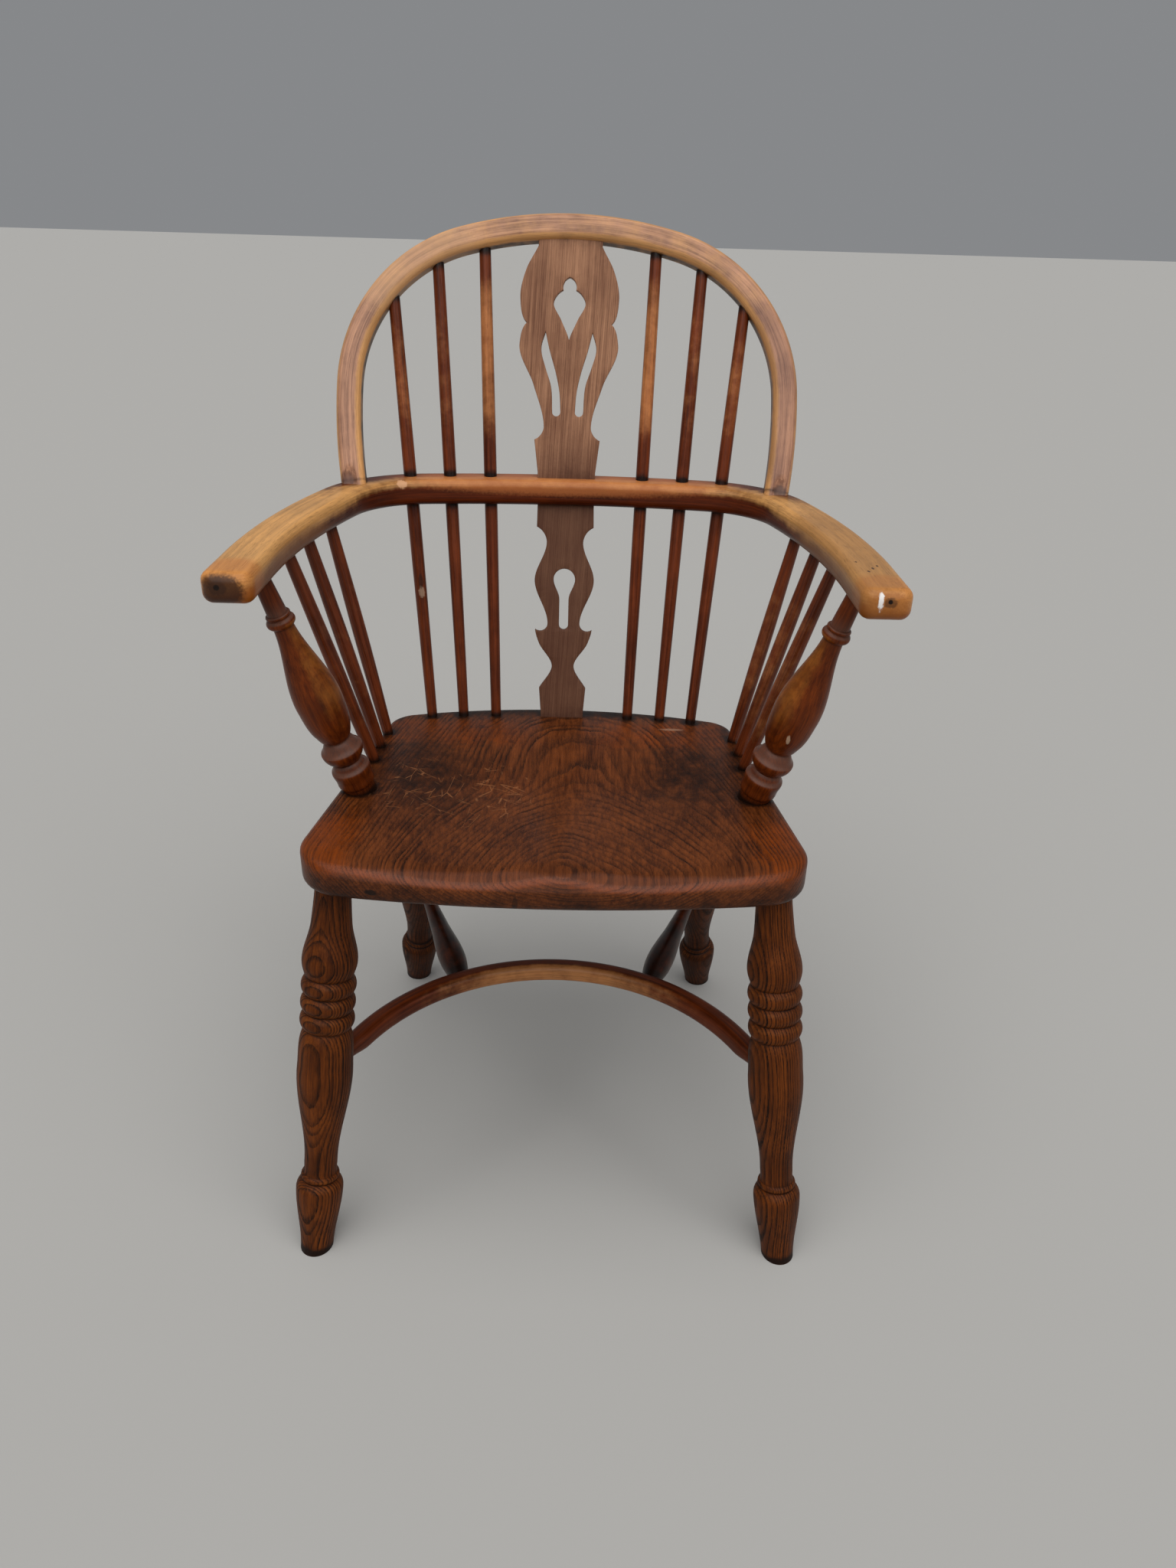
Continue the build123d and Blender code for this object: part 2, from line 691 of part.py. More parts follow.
hoop_up = (hoop_point(0, 1) - hoop_point(0, 0)).normalized()
hoop_plane = Plane(origin=hoop_point(0, 0), x_dir=(1, 0, 0), z_dir=Vector(1, 0, 0).cross(hoop_up))
with BuildPart() as back_hoop:
    with BuildSketch(hoop_plane):
        with BuildLine():
            hoop_ends = []
            for step in (hoop_half_width, -hoop_half_width):
                top = JernArc((0, hoop_rise + step), (1, 0), hoop_top_radius + step, -hoop_top_turn)
                shoulder = JernArc(top @ 1, top % 1, hoop_shoulder_radius + step, -hoop_shoulder_turn)
                foot = JernArc(shoulder @ 1, shoulder % 1, hoop_side_radius + step, -hoop_side_turn())
                hoop_ends.append(foot)
            Line(hoop_ends[0] @ 1, hoop_ends[1] @ 1)
            mirror(about=Plane.YZ)
        make_face()
    extrude(amount=hoop_depth / 2, both=True)
    fillet(back_hoop.faces().filter_by(hoop_plane).edges().filter_by(GeomType.CIRCLE), hoop_round)
    split(bisect_by=Plane.XY.offset(bow_top), keep=Keep.TOP)
    for side in (-1, 1):
        tenon_start, tenon_end = hoop_tenon_line(side)
        with BuildSketch(Plane(origin=tenon_start, z_dir=tenon_end - tenon_start)):
            Circle(hoop_tenon_radius)
        extrude(amount=(tenon_end - tenon_start).length)
    split(bisect_by=Plane.XY.offset(bow_bottom), keep=Keep.TOP)
    for side in (-1, 1):
        for place in long_spindles.values():
            add(long_spindle_turning(side, place, glue_gap), mode=Mode.SUBTRACT)
    head_low = upper_length - splat_straight
    head_high = upper_length + splat_tongue
    add(tongue(upper_plane, upper_head_half, head_low, head_high, glue_gap), mode=Mode.SUBTRACT)
back_hoop.part.label = "back_hoop"
export_step(back_hoop.part, "parts/back_hoop.step")

with BuildPart() as lower_splat:
    with BuildSketch(lower_plane):
        with BuildLine():
            foot = Polyline(
                (0, -splat_tongue),
                (lower_foot_half, -splat_tongue),
                (lower_foot_half, splat_straight),
                lower_at(*lower_base),
            )
            base = Spline(
                foot @ 1,
                lower_at(*lower_neck),
                lower_at(*lower_barb_belly),
                lower_at(*lower_barb),
                tangents=((-0.6, 1), (0.1, 1)),
            )
            barb = ThreePointArc(base @ 1, lower_at(*lower_barb_hollow), lower_at(*lower_waist))
            oval = Spline(barb @ 1, lower_at(*lower_oval), lower_at(*lower_cove), tangents=((0, 1), (0, 1)))
            cove = ThreePointArc(oval @ 1, lower_at(*lower_cove_hollow), lower_at(*lower_corner))
            Polyline(
                cove @ 1,
                (lower_head_half, lower_length - splat_straight),
                (lower_head_half, lower_length + splat_tongue),
                (0, lower_length + splat_tongue),
            )
            mirror(about=Plane.YZ)
        make_face()
        with BuildLine():
            slot_end = CenterArc(lower_at(0, key_slot_end + key_slot_half), key_slot_half, -90, 90)
            slot_side = Line(slot_end @ 1, lower_at(key_slot_half, key_slot_top))
            eye = lower_at(0, key_eye_at)
            flank = Spline(slot_side @ 1, (key_eye_radius, eye[1]), tangents=((0, 1), (0, 1)))
            CenterArc(eye, key_eye_radius, 0, 90)
            mirror(about=Plane.YZ)
        make_face(mode=Mode.SUBTRACT)
    extrude(amount=splat_thickness / 2, both=True)
lower_splat.part.label = "lower_splat"
export_step(lower_splat.part, "parts/lower_splat.step")

with BuildPart() as upper_splat:
    with BuildSketch(upper_plane):
        with BuildLine():
            foot = Polyline(
                (0, -splat_tongue),
                (upper_foot_half, -splat_tongue),
                (upper_foot_half, splat_straight),
                upper_at(*upper_flare),
            )
            flare = ThreePointArc(foot @ 1, upper_at(*upper_flare_hollow), upper_at(*upper_waist))
            low_lobe = Spline(
                flare @ 1,
                upper_at(*upper_taper),
                upper_at(*upper_low_lobe),
                upper_at(*upper_notch),
                tangents=((0, 1), (-1, 0.8)),
            )
            high_lobe = Spline(
                low_lobe @ 1,
                upper_at(*upper_high_lobe),
                upper_at(*upper_brow),
                (upper_head_half, upper_length - splat_straight),
                tangents=((1, 0.8), (-0.5, 1)),
            )
            Polyline(
                high_lobe @ 1,
                (upper_head_half, upper_length + splat_tongue),
                (0, upper_length + splat_tongue),
            )
            mirror(about=Plane.YZ)
        make_face()
        with BuildLine():
            flank = Spline(
                upper_at(0, tear_point_at),
                upper_at(*tear_flank),
                upper_at(*tear_shoulder),
                upper_at(*tear_neck),
                tangents=((0.3, 1), (-1, 0.4)),
            )
            tear_brow = upper_at(tear_neck[0], tear_top_at - tear_neck[0])
            ThreePointArc(flank @ 1, tear_brow, upper_at(0, tear_top_at))
            mirror(about=Plane.YZ)
        make_face(mode=Mode.SUBTRACT)
        for side in (-1, 1):
            with BuildLine():
                outer_foot = (slot_foot_x + slot_foot_radius, slot_foot_at)
                inner_foot = (slot_foot_x - slot_foot_radius, slot_foot_at)
                outside = [slot_tip, *slot_outside, outer_foot]
                inside = [slot_tip, *slot_inside, inner_foot]
                low_point = (slot_foot_x, slot_foot_at - slot_foot_radius)
                Spline(*[upper_at(side * x, y) for x, y in outside])
                Spline(*[upper_at(side * x, y) for x, y in inside])
                ThreePointArc(*[upper_at(side * x, y) for x, y in (outer_foot, low_point, inner_foot)])
            make_face(mode=Mode.SUBTRACT)
    extrude(amount=splat_thickness / 2, both=True)
upper_splat.part.label = "upper_splat"
export_step(upper_splat.part, "parts/upper_splat.step")

for side, hand in ((-1, "left"), (1, "right")):
    for which, place in long_spindles.items():
        with BuildPart() as spindle:
            add(long_spindle_turning(side, place))
        spindle.part.label = f"{hand}_{which}_long_spindle"
        export_step(spindle.part, f"parts/{spindle.part.label}.step")
    for which, place in short_spindles.items():
        with BuildPart() as spindle:
            add(short_spindle_turning(side, place))
        spindle.part.label = f"{hand}_{which}_short_spindle"
        export_step(spindle.part, f"parts/{spindle.part.label}.step")
    with BuildPart() as arm_post:
        add(turning(*post_line(side), post_outline))
    arm_post.part.label = f"{hand}_arm_post"
    export_step(arm_post.part, f"parts/{arm_post.part.label}.step")
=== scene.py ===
# %% [markdown]
# A low-backed Windsor armchair, modelled and finished in Blender.
# The CAD model gives every piece its place. The cells below make each piece again as its maker did:
# legs and spindles come off a lathe, bows are planed straight and then bent, splats are sawn from thin board,
# and the seat is hollowed from one thick plank. Each piece remembers where it lay in its log, so that the
# growth rings of the wood run through it as they do in the real chair.

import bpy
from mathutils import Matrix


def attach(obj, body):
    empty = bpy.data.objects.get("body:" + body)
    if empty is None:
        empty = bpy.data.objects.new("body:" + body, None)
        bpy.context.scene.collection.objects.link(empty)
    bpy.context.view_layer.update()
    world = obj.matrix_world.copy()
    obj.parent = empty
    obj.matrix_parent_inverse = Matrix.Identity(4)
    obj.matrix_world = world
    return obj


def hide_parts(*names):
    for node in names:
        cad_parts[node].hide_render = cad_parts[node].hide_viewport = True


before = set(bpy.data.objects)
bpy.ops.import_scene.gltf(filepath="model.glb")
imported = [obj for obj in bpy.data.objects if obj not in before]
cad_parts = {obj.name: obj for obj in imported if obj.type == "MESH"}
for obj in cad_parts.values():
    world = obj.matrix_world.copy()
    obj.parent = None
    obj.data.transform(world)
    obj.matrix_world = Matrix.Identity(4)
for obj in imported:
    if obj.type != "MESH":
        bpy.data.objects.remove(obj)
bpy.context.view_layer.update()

# %% [markdown]
# All sizes below are in millimetres, as a chairmaker would say them, and every finished mesh is scaled to
# metres at the end. x runs to the chair's right-hand side as we see it, y to the back and z up.
# The seat falls a little to the back, so its height is a function of y.

# %% Shared sizes of the frame
from math import atan2, cos, degrees, exp, pi, radians, sin, sqrt, tan

import bmesh
import bpy
from bmesh.types import BMEdge, BMFace, BMVert
from mathutils import Matrix, Vector
from mathutils.geometry import interpolate_bezier

MM = 0.001
SEAT_FRONT_Y = -209.0
SEAT_DEPTH = 353.0
SEAT_BACK_Y = SEAT_FRONT_Y + SEAT_DEPTH
SEAT_FRONT_TOP = 408.0
SEAT_FALL = 8.0
SEAT_THICKNESS = 35.0
BOW_BOTTOM = 616.0
BOW_THICKNESS = 25.0
BOW_TOP = BOW_BOTTOM + BOW_THICKNESS
BOW_BACK_Y = SEAT_BACK_Y + 36.0
SIDES = {"left": -1, "right": 1}


def seat_top(y):
    """Height of the seat before it was hollowed."""
    return SEAT_FRONT_TOP - SEAT_FALL * (y - SEAT_FRONT_Y) / SEAT_DEPTH


print("seat height, front and back:", seat_top(SEAT_FRONT_Y), seat_top(SEAT_BACK_Y))

# %% [markdown]
# The camera comes first, because everything is judged through it. It stands close in front of the chair, level
# with the top of its back, and looks down at the seat with the short lens of a telephone. A cloudy sky lights the
# chair from above and in front: here it is a wide, soft sun with a weaker one from the side. Light that is even
# and plain keeps the wood's colour as written.

# %% Camera and light
CAMERA_PLACE = (0.0152, -0.9469, 0.8872)
CAMERA_TURN = (61.962, -1.510, -0.023)
scene = bpy.context.scene
scene.view_settings.view_transform = "Standard"


def placed(name, data):
    """A new object in the scene."""
    added = bpy.data.objects.new(name, data)
    scene.collection.objects.link(added)
    return added


def soft_sun(name, toward, angle, strength):
    """Parallel light from a wide patch of sky, which shines toward a direction."""
    lamp_data = bpy.data.lights.new(name, "SUN")
    lamp_data.angle = radians(angle)
    lamp_data.energy = strength
    placed(name, lamp_data).rotation_euler = Vector(toward).to_track_quat("-Z", "Y").to_euler()


camera_data = bpy.data.cameras.new("photo_camera")
camera_data.lens = 24.96
camera_data.sensor_width = 36.0
camera = placed("photo_camera", camera_data)
camera.location = CAMERA_PLACE
camera.rotation_euler = [radians(angle) for angle in CAMERA_TURN]
scene.camera = camera
soft_sun("sky_light", (0.06, 0.50, -1.0), 80.0, 2.7)
soft_sun("side_light", (-0.9, 0.55, -0.55), 30.0, 0.25)

# %% [markdown]
# The floor is not part of the chair. Its pale grey is in its colour, not in extra light.

# %% Floor and world
FLOOR_REACH = 30.0
FLOOR_GREY = (0.40, 0.39, 0.37, 1.0)
SKY_WHITE = (0.80, 0.82, 0.85, 1.0)
floor_bm = bmesh.new()
bmesh.ops.create_grid(floor_bm, x_segments=2, y_segments=2, size=FLOOR_REACH)
floor_mesh = bpy.data.meshes.new("pale_floor")
floor_bm.to_mesh(floor_mesh)
floor_bm.free()
floor = placed("pale_floor", floor_mesh)

floor_paint = bpy.data.materials.new("pale_floor_paint")
floor_paint.use_nodes = True
floor_shader = floor_paint.node_tree.nodes["Principled BSDF"]
floor_shader.inputs["Base Color"].default_value = FLOOR_GREY
floor_shader.inputs["Roughness"].default_value = 0.9
floor_mesh.materials.append(floor_paint)

world = bpy.data.worlds.new("even_sky")
scene.world = world
world.use_nodes = True
sky = world.node_tree.nodes["Background"]
sky.inputs["Color"].default_value = SKY_WHITE
sky.inputs["Strength"].default_value = 0.30
print("floor reaches", FLOOR_REACH, "metres each way")

# %% [markdown]
# A material in Blender is a small net of nodes. Writing one by hand takes three lines for each node, so the first
# helper adds a node and fills or links its sockets. The next ones use it for the steps that come back most often,
# and the last turns a colour as we see it on a screen into the linear light that Blender works with.

# %% Node helpers
def wire(tree, kind, inputs=None, **settings):
    """Add a node, set its options, and fill each named socket with a value or a link."""
    added = tree.nodes.new(kind)
    for option, value in settings.items():
        setattr(added, option, value)
    for socket, value in (inputs or {}).items():
        if isinstance(value, bpy.types.NodeSocket):
            tree.links.new(value, added.inputs[socket])
        else:
            added.inputs[socket].default_value = value
    return added


def maths(tree, operation, first, second=0.0, third=0.0):
    """One step of arithmetic on values that change over the surface."""
    return wire(tree, "ShaderNodeMath", {0: first, 1: second, 2: third}, operation=operation).outputs[0]


def vectors(tree, operation, *parts):
    """One step of arithmetic on vectors, as the outputs of its node."""
    return wire(tree, "ShaderNodeVectorMath", dict(enumerate(parts)), operation=operation).outputs


def noise(tree, vector, factors, detail, roughness=0.5):
    """Cloudy noise from 0 to 1, on a vector that is first multiplied part by part."""
    spread = vectors(tree, "MULTIPLY", vector, factors)[0]
    sockets = {"Vector": spread, "Scale": 1.0, "Detail": detail, "Roughness": roughness}
    return wire(tree, "ShaderNodeTexNoise", sockets).outputs[0]


def swayed(tree, value, cloud, amount):
    """A value that noise pushes up and down."""
    return maths(tree, "MULTIPLY_ADD", maths(tree, "SUBTRACT", cloud, 0.5), amount, value)


def between(tree, value, start, end):
    """A smooth step from 0 at start to 1 at end. Start may be the greater of the two."""
    sockets = {"Value": value, "From Min": start, "From Max": end}
    return wire(tree, "ShaderNodeMapRange", sockets, interpolation_type="SMOOTHSTEP").outputs[0]


def mixed(tree, share, first, second):
    """The first colour, with a share of the second."""
    return wire(tree, "ShaderNodeMix", {0: share, 6: first, 7: second}, data_type="RGBA").outputs[2]


def seen(red, green, blue):
    """A screen colour, 0 to 255, as linear light."""
    def linear(part):
        share = part / 255
        return share / 12.92 if share <= 0.04045 else ((share + 0.055) / 1.055) ** 2.4
    return linear(red), linear(green), linear(blue), 1.0


print("a mid brown in linear light:", [round(part, 3) for part in seen(120, 72, 40)])

# %% [markdown]
# Growth rings are thin cones around the pith of the tree. A piece sawn from the log cuts through them, and that
# cut is the pattern that we see: straight lines on a side, nested ellipses where the surface touches the rings. An
# image could only be wrapped around a leg, so the rings are made as a solid pattern instead. Each mesh carries an
# attribute called grain that says where every point lay in the log, in millimetres from the pith. The group
# below needs only the distance from the pith, a slow waver, and a sharp dark line where each year's growth starts.

# %% Node group: growth rings
FLOAT = "NodeSocketFloat"
VECTOR = "NodeSocketVector"
QUICK_WAVER = 0.7
UNEVEN_YEARS = 7.0


def new_group(name, inputs, outputs):
    """An empty shader group: its tree, the values it is given and the sockets of its results."""
    group = bpy.data.node_groups.new(name, "ShaderNodeTree")
    for socket, kind in inputs.items():
        group.interface.new_socket(socket, in_out="INPUT", socket_type=kind)
    for socket in outputs:
        group.interface.new_socket(socket, in_out="OUTPUT", socket_type=FLOAT)
    entry = group.nodes.new("NodeGroupInput")
    leave = group.nodes.new("NodeGroupOutput")
    return group, entry.outputs, leave.inputs


tree, given, result = new_group(
    "growth_rings", {"Grain": VECTOR, "Ring Width": FLOAT, "Waver": FLOAT}, ["Line"]
)
slow = noise(tree, given["Grain"], (0.022, 0.022, 0.006), 2.0)
quick = noise(tree, given["Grain"], (0.25, 0.25, 0.03), 2.0)
flat = vectors(tree, "MULTIPLY", given["Grain"], (1.0, 1.0, 0.0))[0]
radius = vectors(tree, "LENGTH", flat)["Value"]
radius = swayed(tree, radius, slow, given["Waver"])
radius = swayed(tree, radius, quick, QUICK_WAVER)
outwards = wire(tree, "ShaderNodeCombineXYZ", {0: radius}).outputs[0]
radius = swayed(tree, radius, noise(tree, outwards, (0.13, 0.0, 0.0), 2.0), UNEVEN_YEARS)
years = maths(tree, "DIVIDE", radius, given["Ring Width"])
year = maths(tree, "FLOOR", years)
season = maths(tree, "FRACT", years)
luck = wire(tree, "ShaderNodeTexWhiteNoise", {"W": year}, noise_dimensions="1D").outputs["Value"]
line = maths(tree, "MAXIMUM", between(tree, season, 0.62, 0.05), between(tree, season, 0.90, 1.0))
line = maths(tree, "MULTIPLY", line, maths(tree, "MULTIPLY_ADD", luck, 0.45, 0.55))
tree.links.new(line, result["Line"])
print("growth_rings has", len(tree.nodes), "nodes")

# %% [markdown]
# Between the rings the wood is made of long fibres, and ash and elm have open pores that fill with dark stain.
# Both are noise stretched along the log: the fibres softly, the pores cut off hard so that only short dashes stay.
# Three more groups make the signs of age. One breaks up wear and grime, and the painted sheen and shade that ride
# with them, which never have a clean edge on an old chair, one makes a single ragged mark, and one draws straight
# hairline scratches in three directions.

# %% Node groups: fibres and age
FIBRES = {
    "Streak": ((0.7, 0.7, 0.016), 4.0, 0.28, 0.72),
    "Band": ((0.24, 0.24, 0.008), 3.0, 0.34, 0.66),
    "Cloud": ((0.03, 0.03, 0.012), 3.0, 0.33, 0.67),
}
tree, given, result = new_group("fibres_and_pores", {"Grain": VECTOR}, [*FIBRES, "Broken", "Pores"])
for name, (stretch, detail, start, end) in FIBRES.items():
    fibres = noise(tree, given["Grain"], stretch, detail, 0.6)
    tree.links.new(between(tree, fibres, start, end), result[name])
dashes = noise(tree, given["Grain"], (1.9, 1.9, 0.09), 2.0, 0.55)
tree.links.new(between(tree, dashes, 0.57, 0.70), result["Pores"])
broken = maths(tree, "MULTIPLY_ADD", between(tree, dashes, 0.38, 0.56), 0.55, 0.45)
tree.links.new(broken, result["Broken"])

tree, given, result = new_group(
    "wear_grime_and_painted_light", {"Position": VECTOR, "Wear And Sheen": FLOAT, "Grime And Shade": FLOAT}, ["Worn", "Grimy And Shaded", "Patina"]
)
patches = noise(tree, given["Position"], (60.0, 60.0, 60.0), 5.0, 0.65)
tree.links.new(between(tree, swayed(tree, given["Wear And Sheen"], patches, 0.85), 0.15, 0.85), result["Worn"])
tree.links.new(between(tree, swayed(tree, given["Grime And Shade"], patches, -0.9), 0.12, 0.80), result["Grimy And Shaded"])
stain = noise(tree, given["Position"], (17.0, 17.0, 17.0), 5.0, 0.6)
tree.links.new(between(tree, stain, 0.34, 0.66), result["Patina"])

tree, given, result = new_group(
    "mark", {"Position": VECTOR, "Centre": VECTOR, "Size": VECTOR, "Ragged": FLOAT}, ["Mask"]
)
away = vectors(tree, "SUBTRACT", given["Position"], given["Centre"])[0]
away = vectors(tree, "LENGTH", vectors(tree, "DIVIDE", away, given["Size"])[0])["Value"]
torn = noise(tree, given["Position"], (420.0, 420.0, 420.0), 3.0, 0.6)
tree.links.new(between(tree, swayed(tree, away, torn, given["Ragged"]), 1.1, 0.7), result["Mask"])

SCRATCH_WAYS = ((0.5, 3.0), (1.7, 11.0), (2.6, 23.0))
tree, given, result = new_group("scratches", {"Position": VECTOR}, ["Lines"])
lines = 0.0
for angle, shift in SCRATCH_WAYS:
    sockets = {"Vector": given["Position"], "Angle": angle}
    turned = wire(tree, "ShaderNodeVectorRotate", sockets, rotation_type="Z_AXIS").outputs[0]
    drawn, where = (
        vectors(tree, "MULTIPLY_ADD", turned, factors, (shift, shift, shift))[0]
        for factors in ((16.0, 90.0, 16.0), (40.0, 70.0, 40.0))
    )
    cells = wire(tree, "ShaderNodeTexVoronoi", {"Vector": drawn, "Scale": 1.0}, feature="DISTANCE_TO_EDGE")
    thin = between(tree, cells.outputs["Distance"], 0.026, 0.006)
    here = between(tree, noise(tree, where, (1.0, 1.0, 1.0), 2.0), 0.54, 0.62)
    lines = maths(tree, "MAXIMUM", lines, maths(tree, "MULTIPLY", thin, here))
tree.links.new(lines, result["Lines"])
print("groups:", [group.name for group in bpy.data.node_groups])

# %% [markdown]
# One function then makes a finish for each kind of wood on this chair. Over the bare wood lie its layers: ring
# lines, pores, a painted grey sheen, grime with painted shade, and single marks. Ring lines and pores are also
# pressed into the surface a little, as they are under an old wax polish. The painted sheen, a reflection of the
# sky, lies where the wear that a mesh carries is negative.

# %% A finish of stained and waxed wood
# This dark colour is used for real grime and for painted shade alike.
GRIME_AND_SHADE = (26, 12, 6)
# The colour of a painted reflection of the sky: a grey sheen on turned faces that slope in upwards.
SHEEN_GREY = (100, 76, 66)
SCRATCH = (150, 96, 58)
SCRATCH_SHARE = 0.6
SCRATCH_RAGGED = 0.8
WORN_DARK = 0.78
PRESSED = 0.0004


def grouped(tree, name, sockets):
    """A node that uses one of the groups, with its sockets filled or linked."""
    return wire(tree, "ShaderNodeGroup", sockets, node_tree=bpy.data.node_groups[name]).outputs


def spot(tree, place, centre, size, ragged):
    """The mask of one mark, with its centre and size in millimetres."""
    centre, size = (tuple(MM * part for part in vector) for vector in (centre, size))
    return grouped(tree, "mark", {"Position": place, "Centre": centre, "Size": size, "Ragged": ragged})["Mask"]


def wood_finish(
    name, light, dark, ring, worn, ring_width, waver, bold, pores, gloss, bump, shine, fade, marks, scratched
):
    """Stained wood: light and dark are its fibres, ring its year lines and worn its rubbed places."""
    finish = bpy.data.materials.new(name)
    finish.use_nodes = True
    tree = finish.node_tree
    shader = tree.nodes["Principled BSDF"]
    grain = wire(tree, "ShaderNodeAttribute", attribute_name="grain").outputs["Vector"]
    wear_and_sheen = wire(tree, "ShaderNodeAttribute", attribute_name="wear_and_sheen").outputs["Fac"]
    grime_and_shade = wire(tree, "ShaderNodeAttribute", attribute_name="grime_and_shade").outputs["Fac"]
    place = wire(tree, "ShaderNodeTexCoord").outputs["Object"]
    rings = grouped(tree, "growth_rings", {"Grain": grain, "Ring Width": ring_width, "Waver": waver})
    fibres = grouped(tree, "fibres_and_pores", {"Grain": grain})
    age = grouped(tree, "wear_grime_and_painted_light", {"Position": place, "Wear And Sheen": wear_and_sheen, "Grime And Shade": grime_and_shade})
    clear = maths(tree, "MULTIPLY_ADD", fibres["Cloud"], fade * bold, (1 - fade) * bold)
    for cover, loss in ((age["Worn"], -0.2), (age["Grimy And Shaded"], -0.3)):
        clear = maths(tree, "MULTIPLY", clear, maths(tree, "MULTIPLY_ADD", cover, loss, 1.0))
    line = maths(tree, "MULTIPLY", rings["Line"], maths(tree, "MULTIPLY", clear, fibres["Broken"]))
    hole = maths(tree, "MULTIPLY", fibres["Pores"], pores)
    tone = maths(tree, "MULTIPLY", fibres["Streak"], 0.32)
    tone = maths(tree, "MULTIPLY_ADD", fibres["Band"], 0.38, tone)
    tone = maths(tree, "MULTIPLY_ADD", age["Patina"], 0.30, tone)
    colour = mixed(tree, tone, seen(*dark), seen(*light))
    rubbed = mixed(tree, tone, seen(*(WORN_DARK * part for part in worn)), seen(*worn))
    # Worn places take the worn colour, and so do the painted highlights on lit tops and rims.
    colour = mixed(tree, age["Worn"], colour, rubbed)
    layers = [(line, ring), (hole, ring), (between(tree, wear_and_sheen, -0.15, -0.85), SHEEN_GREY), (age["Grimy And Shaded"], GRIME_AND_SHADE)]
    for centre, size, ragged, share, tint in marks:
        layers.append((maths(tree, "MULTIPLY", spot(tree, place, centre, size, ragged), share), tint))
    if scratched:
        cuts = grouped(tree, "scratches", {"Position": place})["Lines"]
        cuts = maths(tree, "MULTIPLY", spot(tree, place, *scratched, SCRATCH_RAGGED), cuts)
        layers.append((maths(tree, "MULTIPLY", cuts, SCRATCH_SHARE), SCRATCH))
    for share, tint in layers:
        colour = mixed(tree, share, colour, seen(*tint))
    tree.links.new(colour, shader.inputs["Base Color"])
    rough = maths(tree, "MULTIPLY_ADD", tone, 0.12, gloss)
    tree.links.new(maths(tree, "MULTIPLY_ADD", line, 0.14, rough), shader.inputs["Roughness"])
    deep = maths(tree, "ADD", maths(tree, "MULTIPLY", line, 0.6), hole)
    height = maths(tree, "SUBTRACT", 1.0, deep)
    bumped = wire(tree, "ShaderNodeBump", {"Height": height, "Strength": bump, "Distance": PRESSED})
    tree.links.new(bumped.outputs["Normal"], shader.inputs["Normal"])
    shader.inputs["Specular IOR Level"].default_value = shine
    return finish


print("a worn place is mixed down to", WORN_DARK, "of its colour")

# %% [markdown]
# Single marks are what an eye remembers of an old chair: rubbed hands, pith spots, a fleck of paint. A few also
# carry a painted sheen: on the back rail's top, along the seat's front rim and on the hoop's upper left. Each has a
# centre and a size, how ragged it is, how strongly it covers, and its colour.

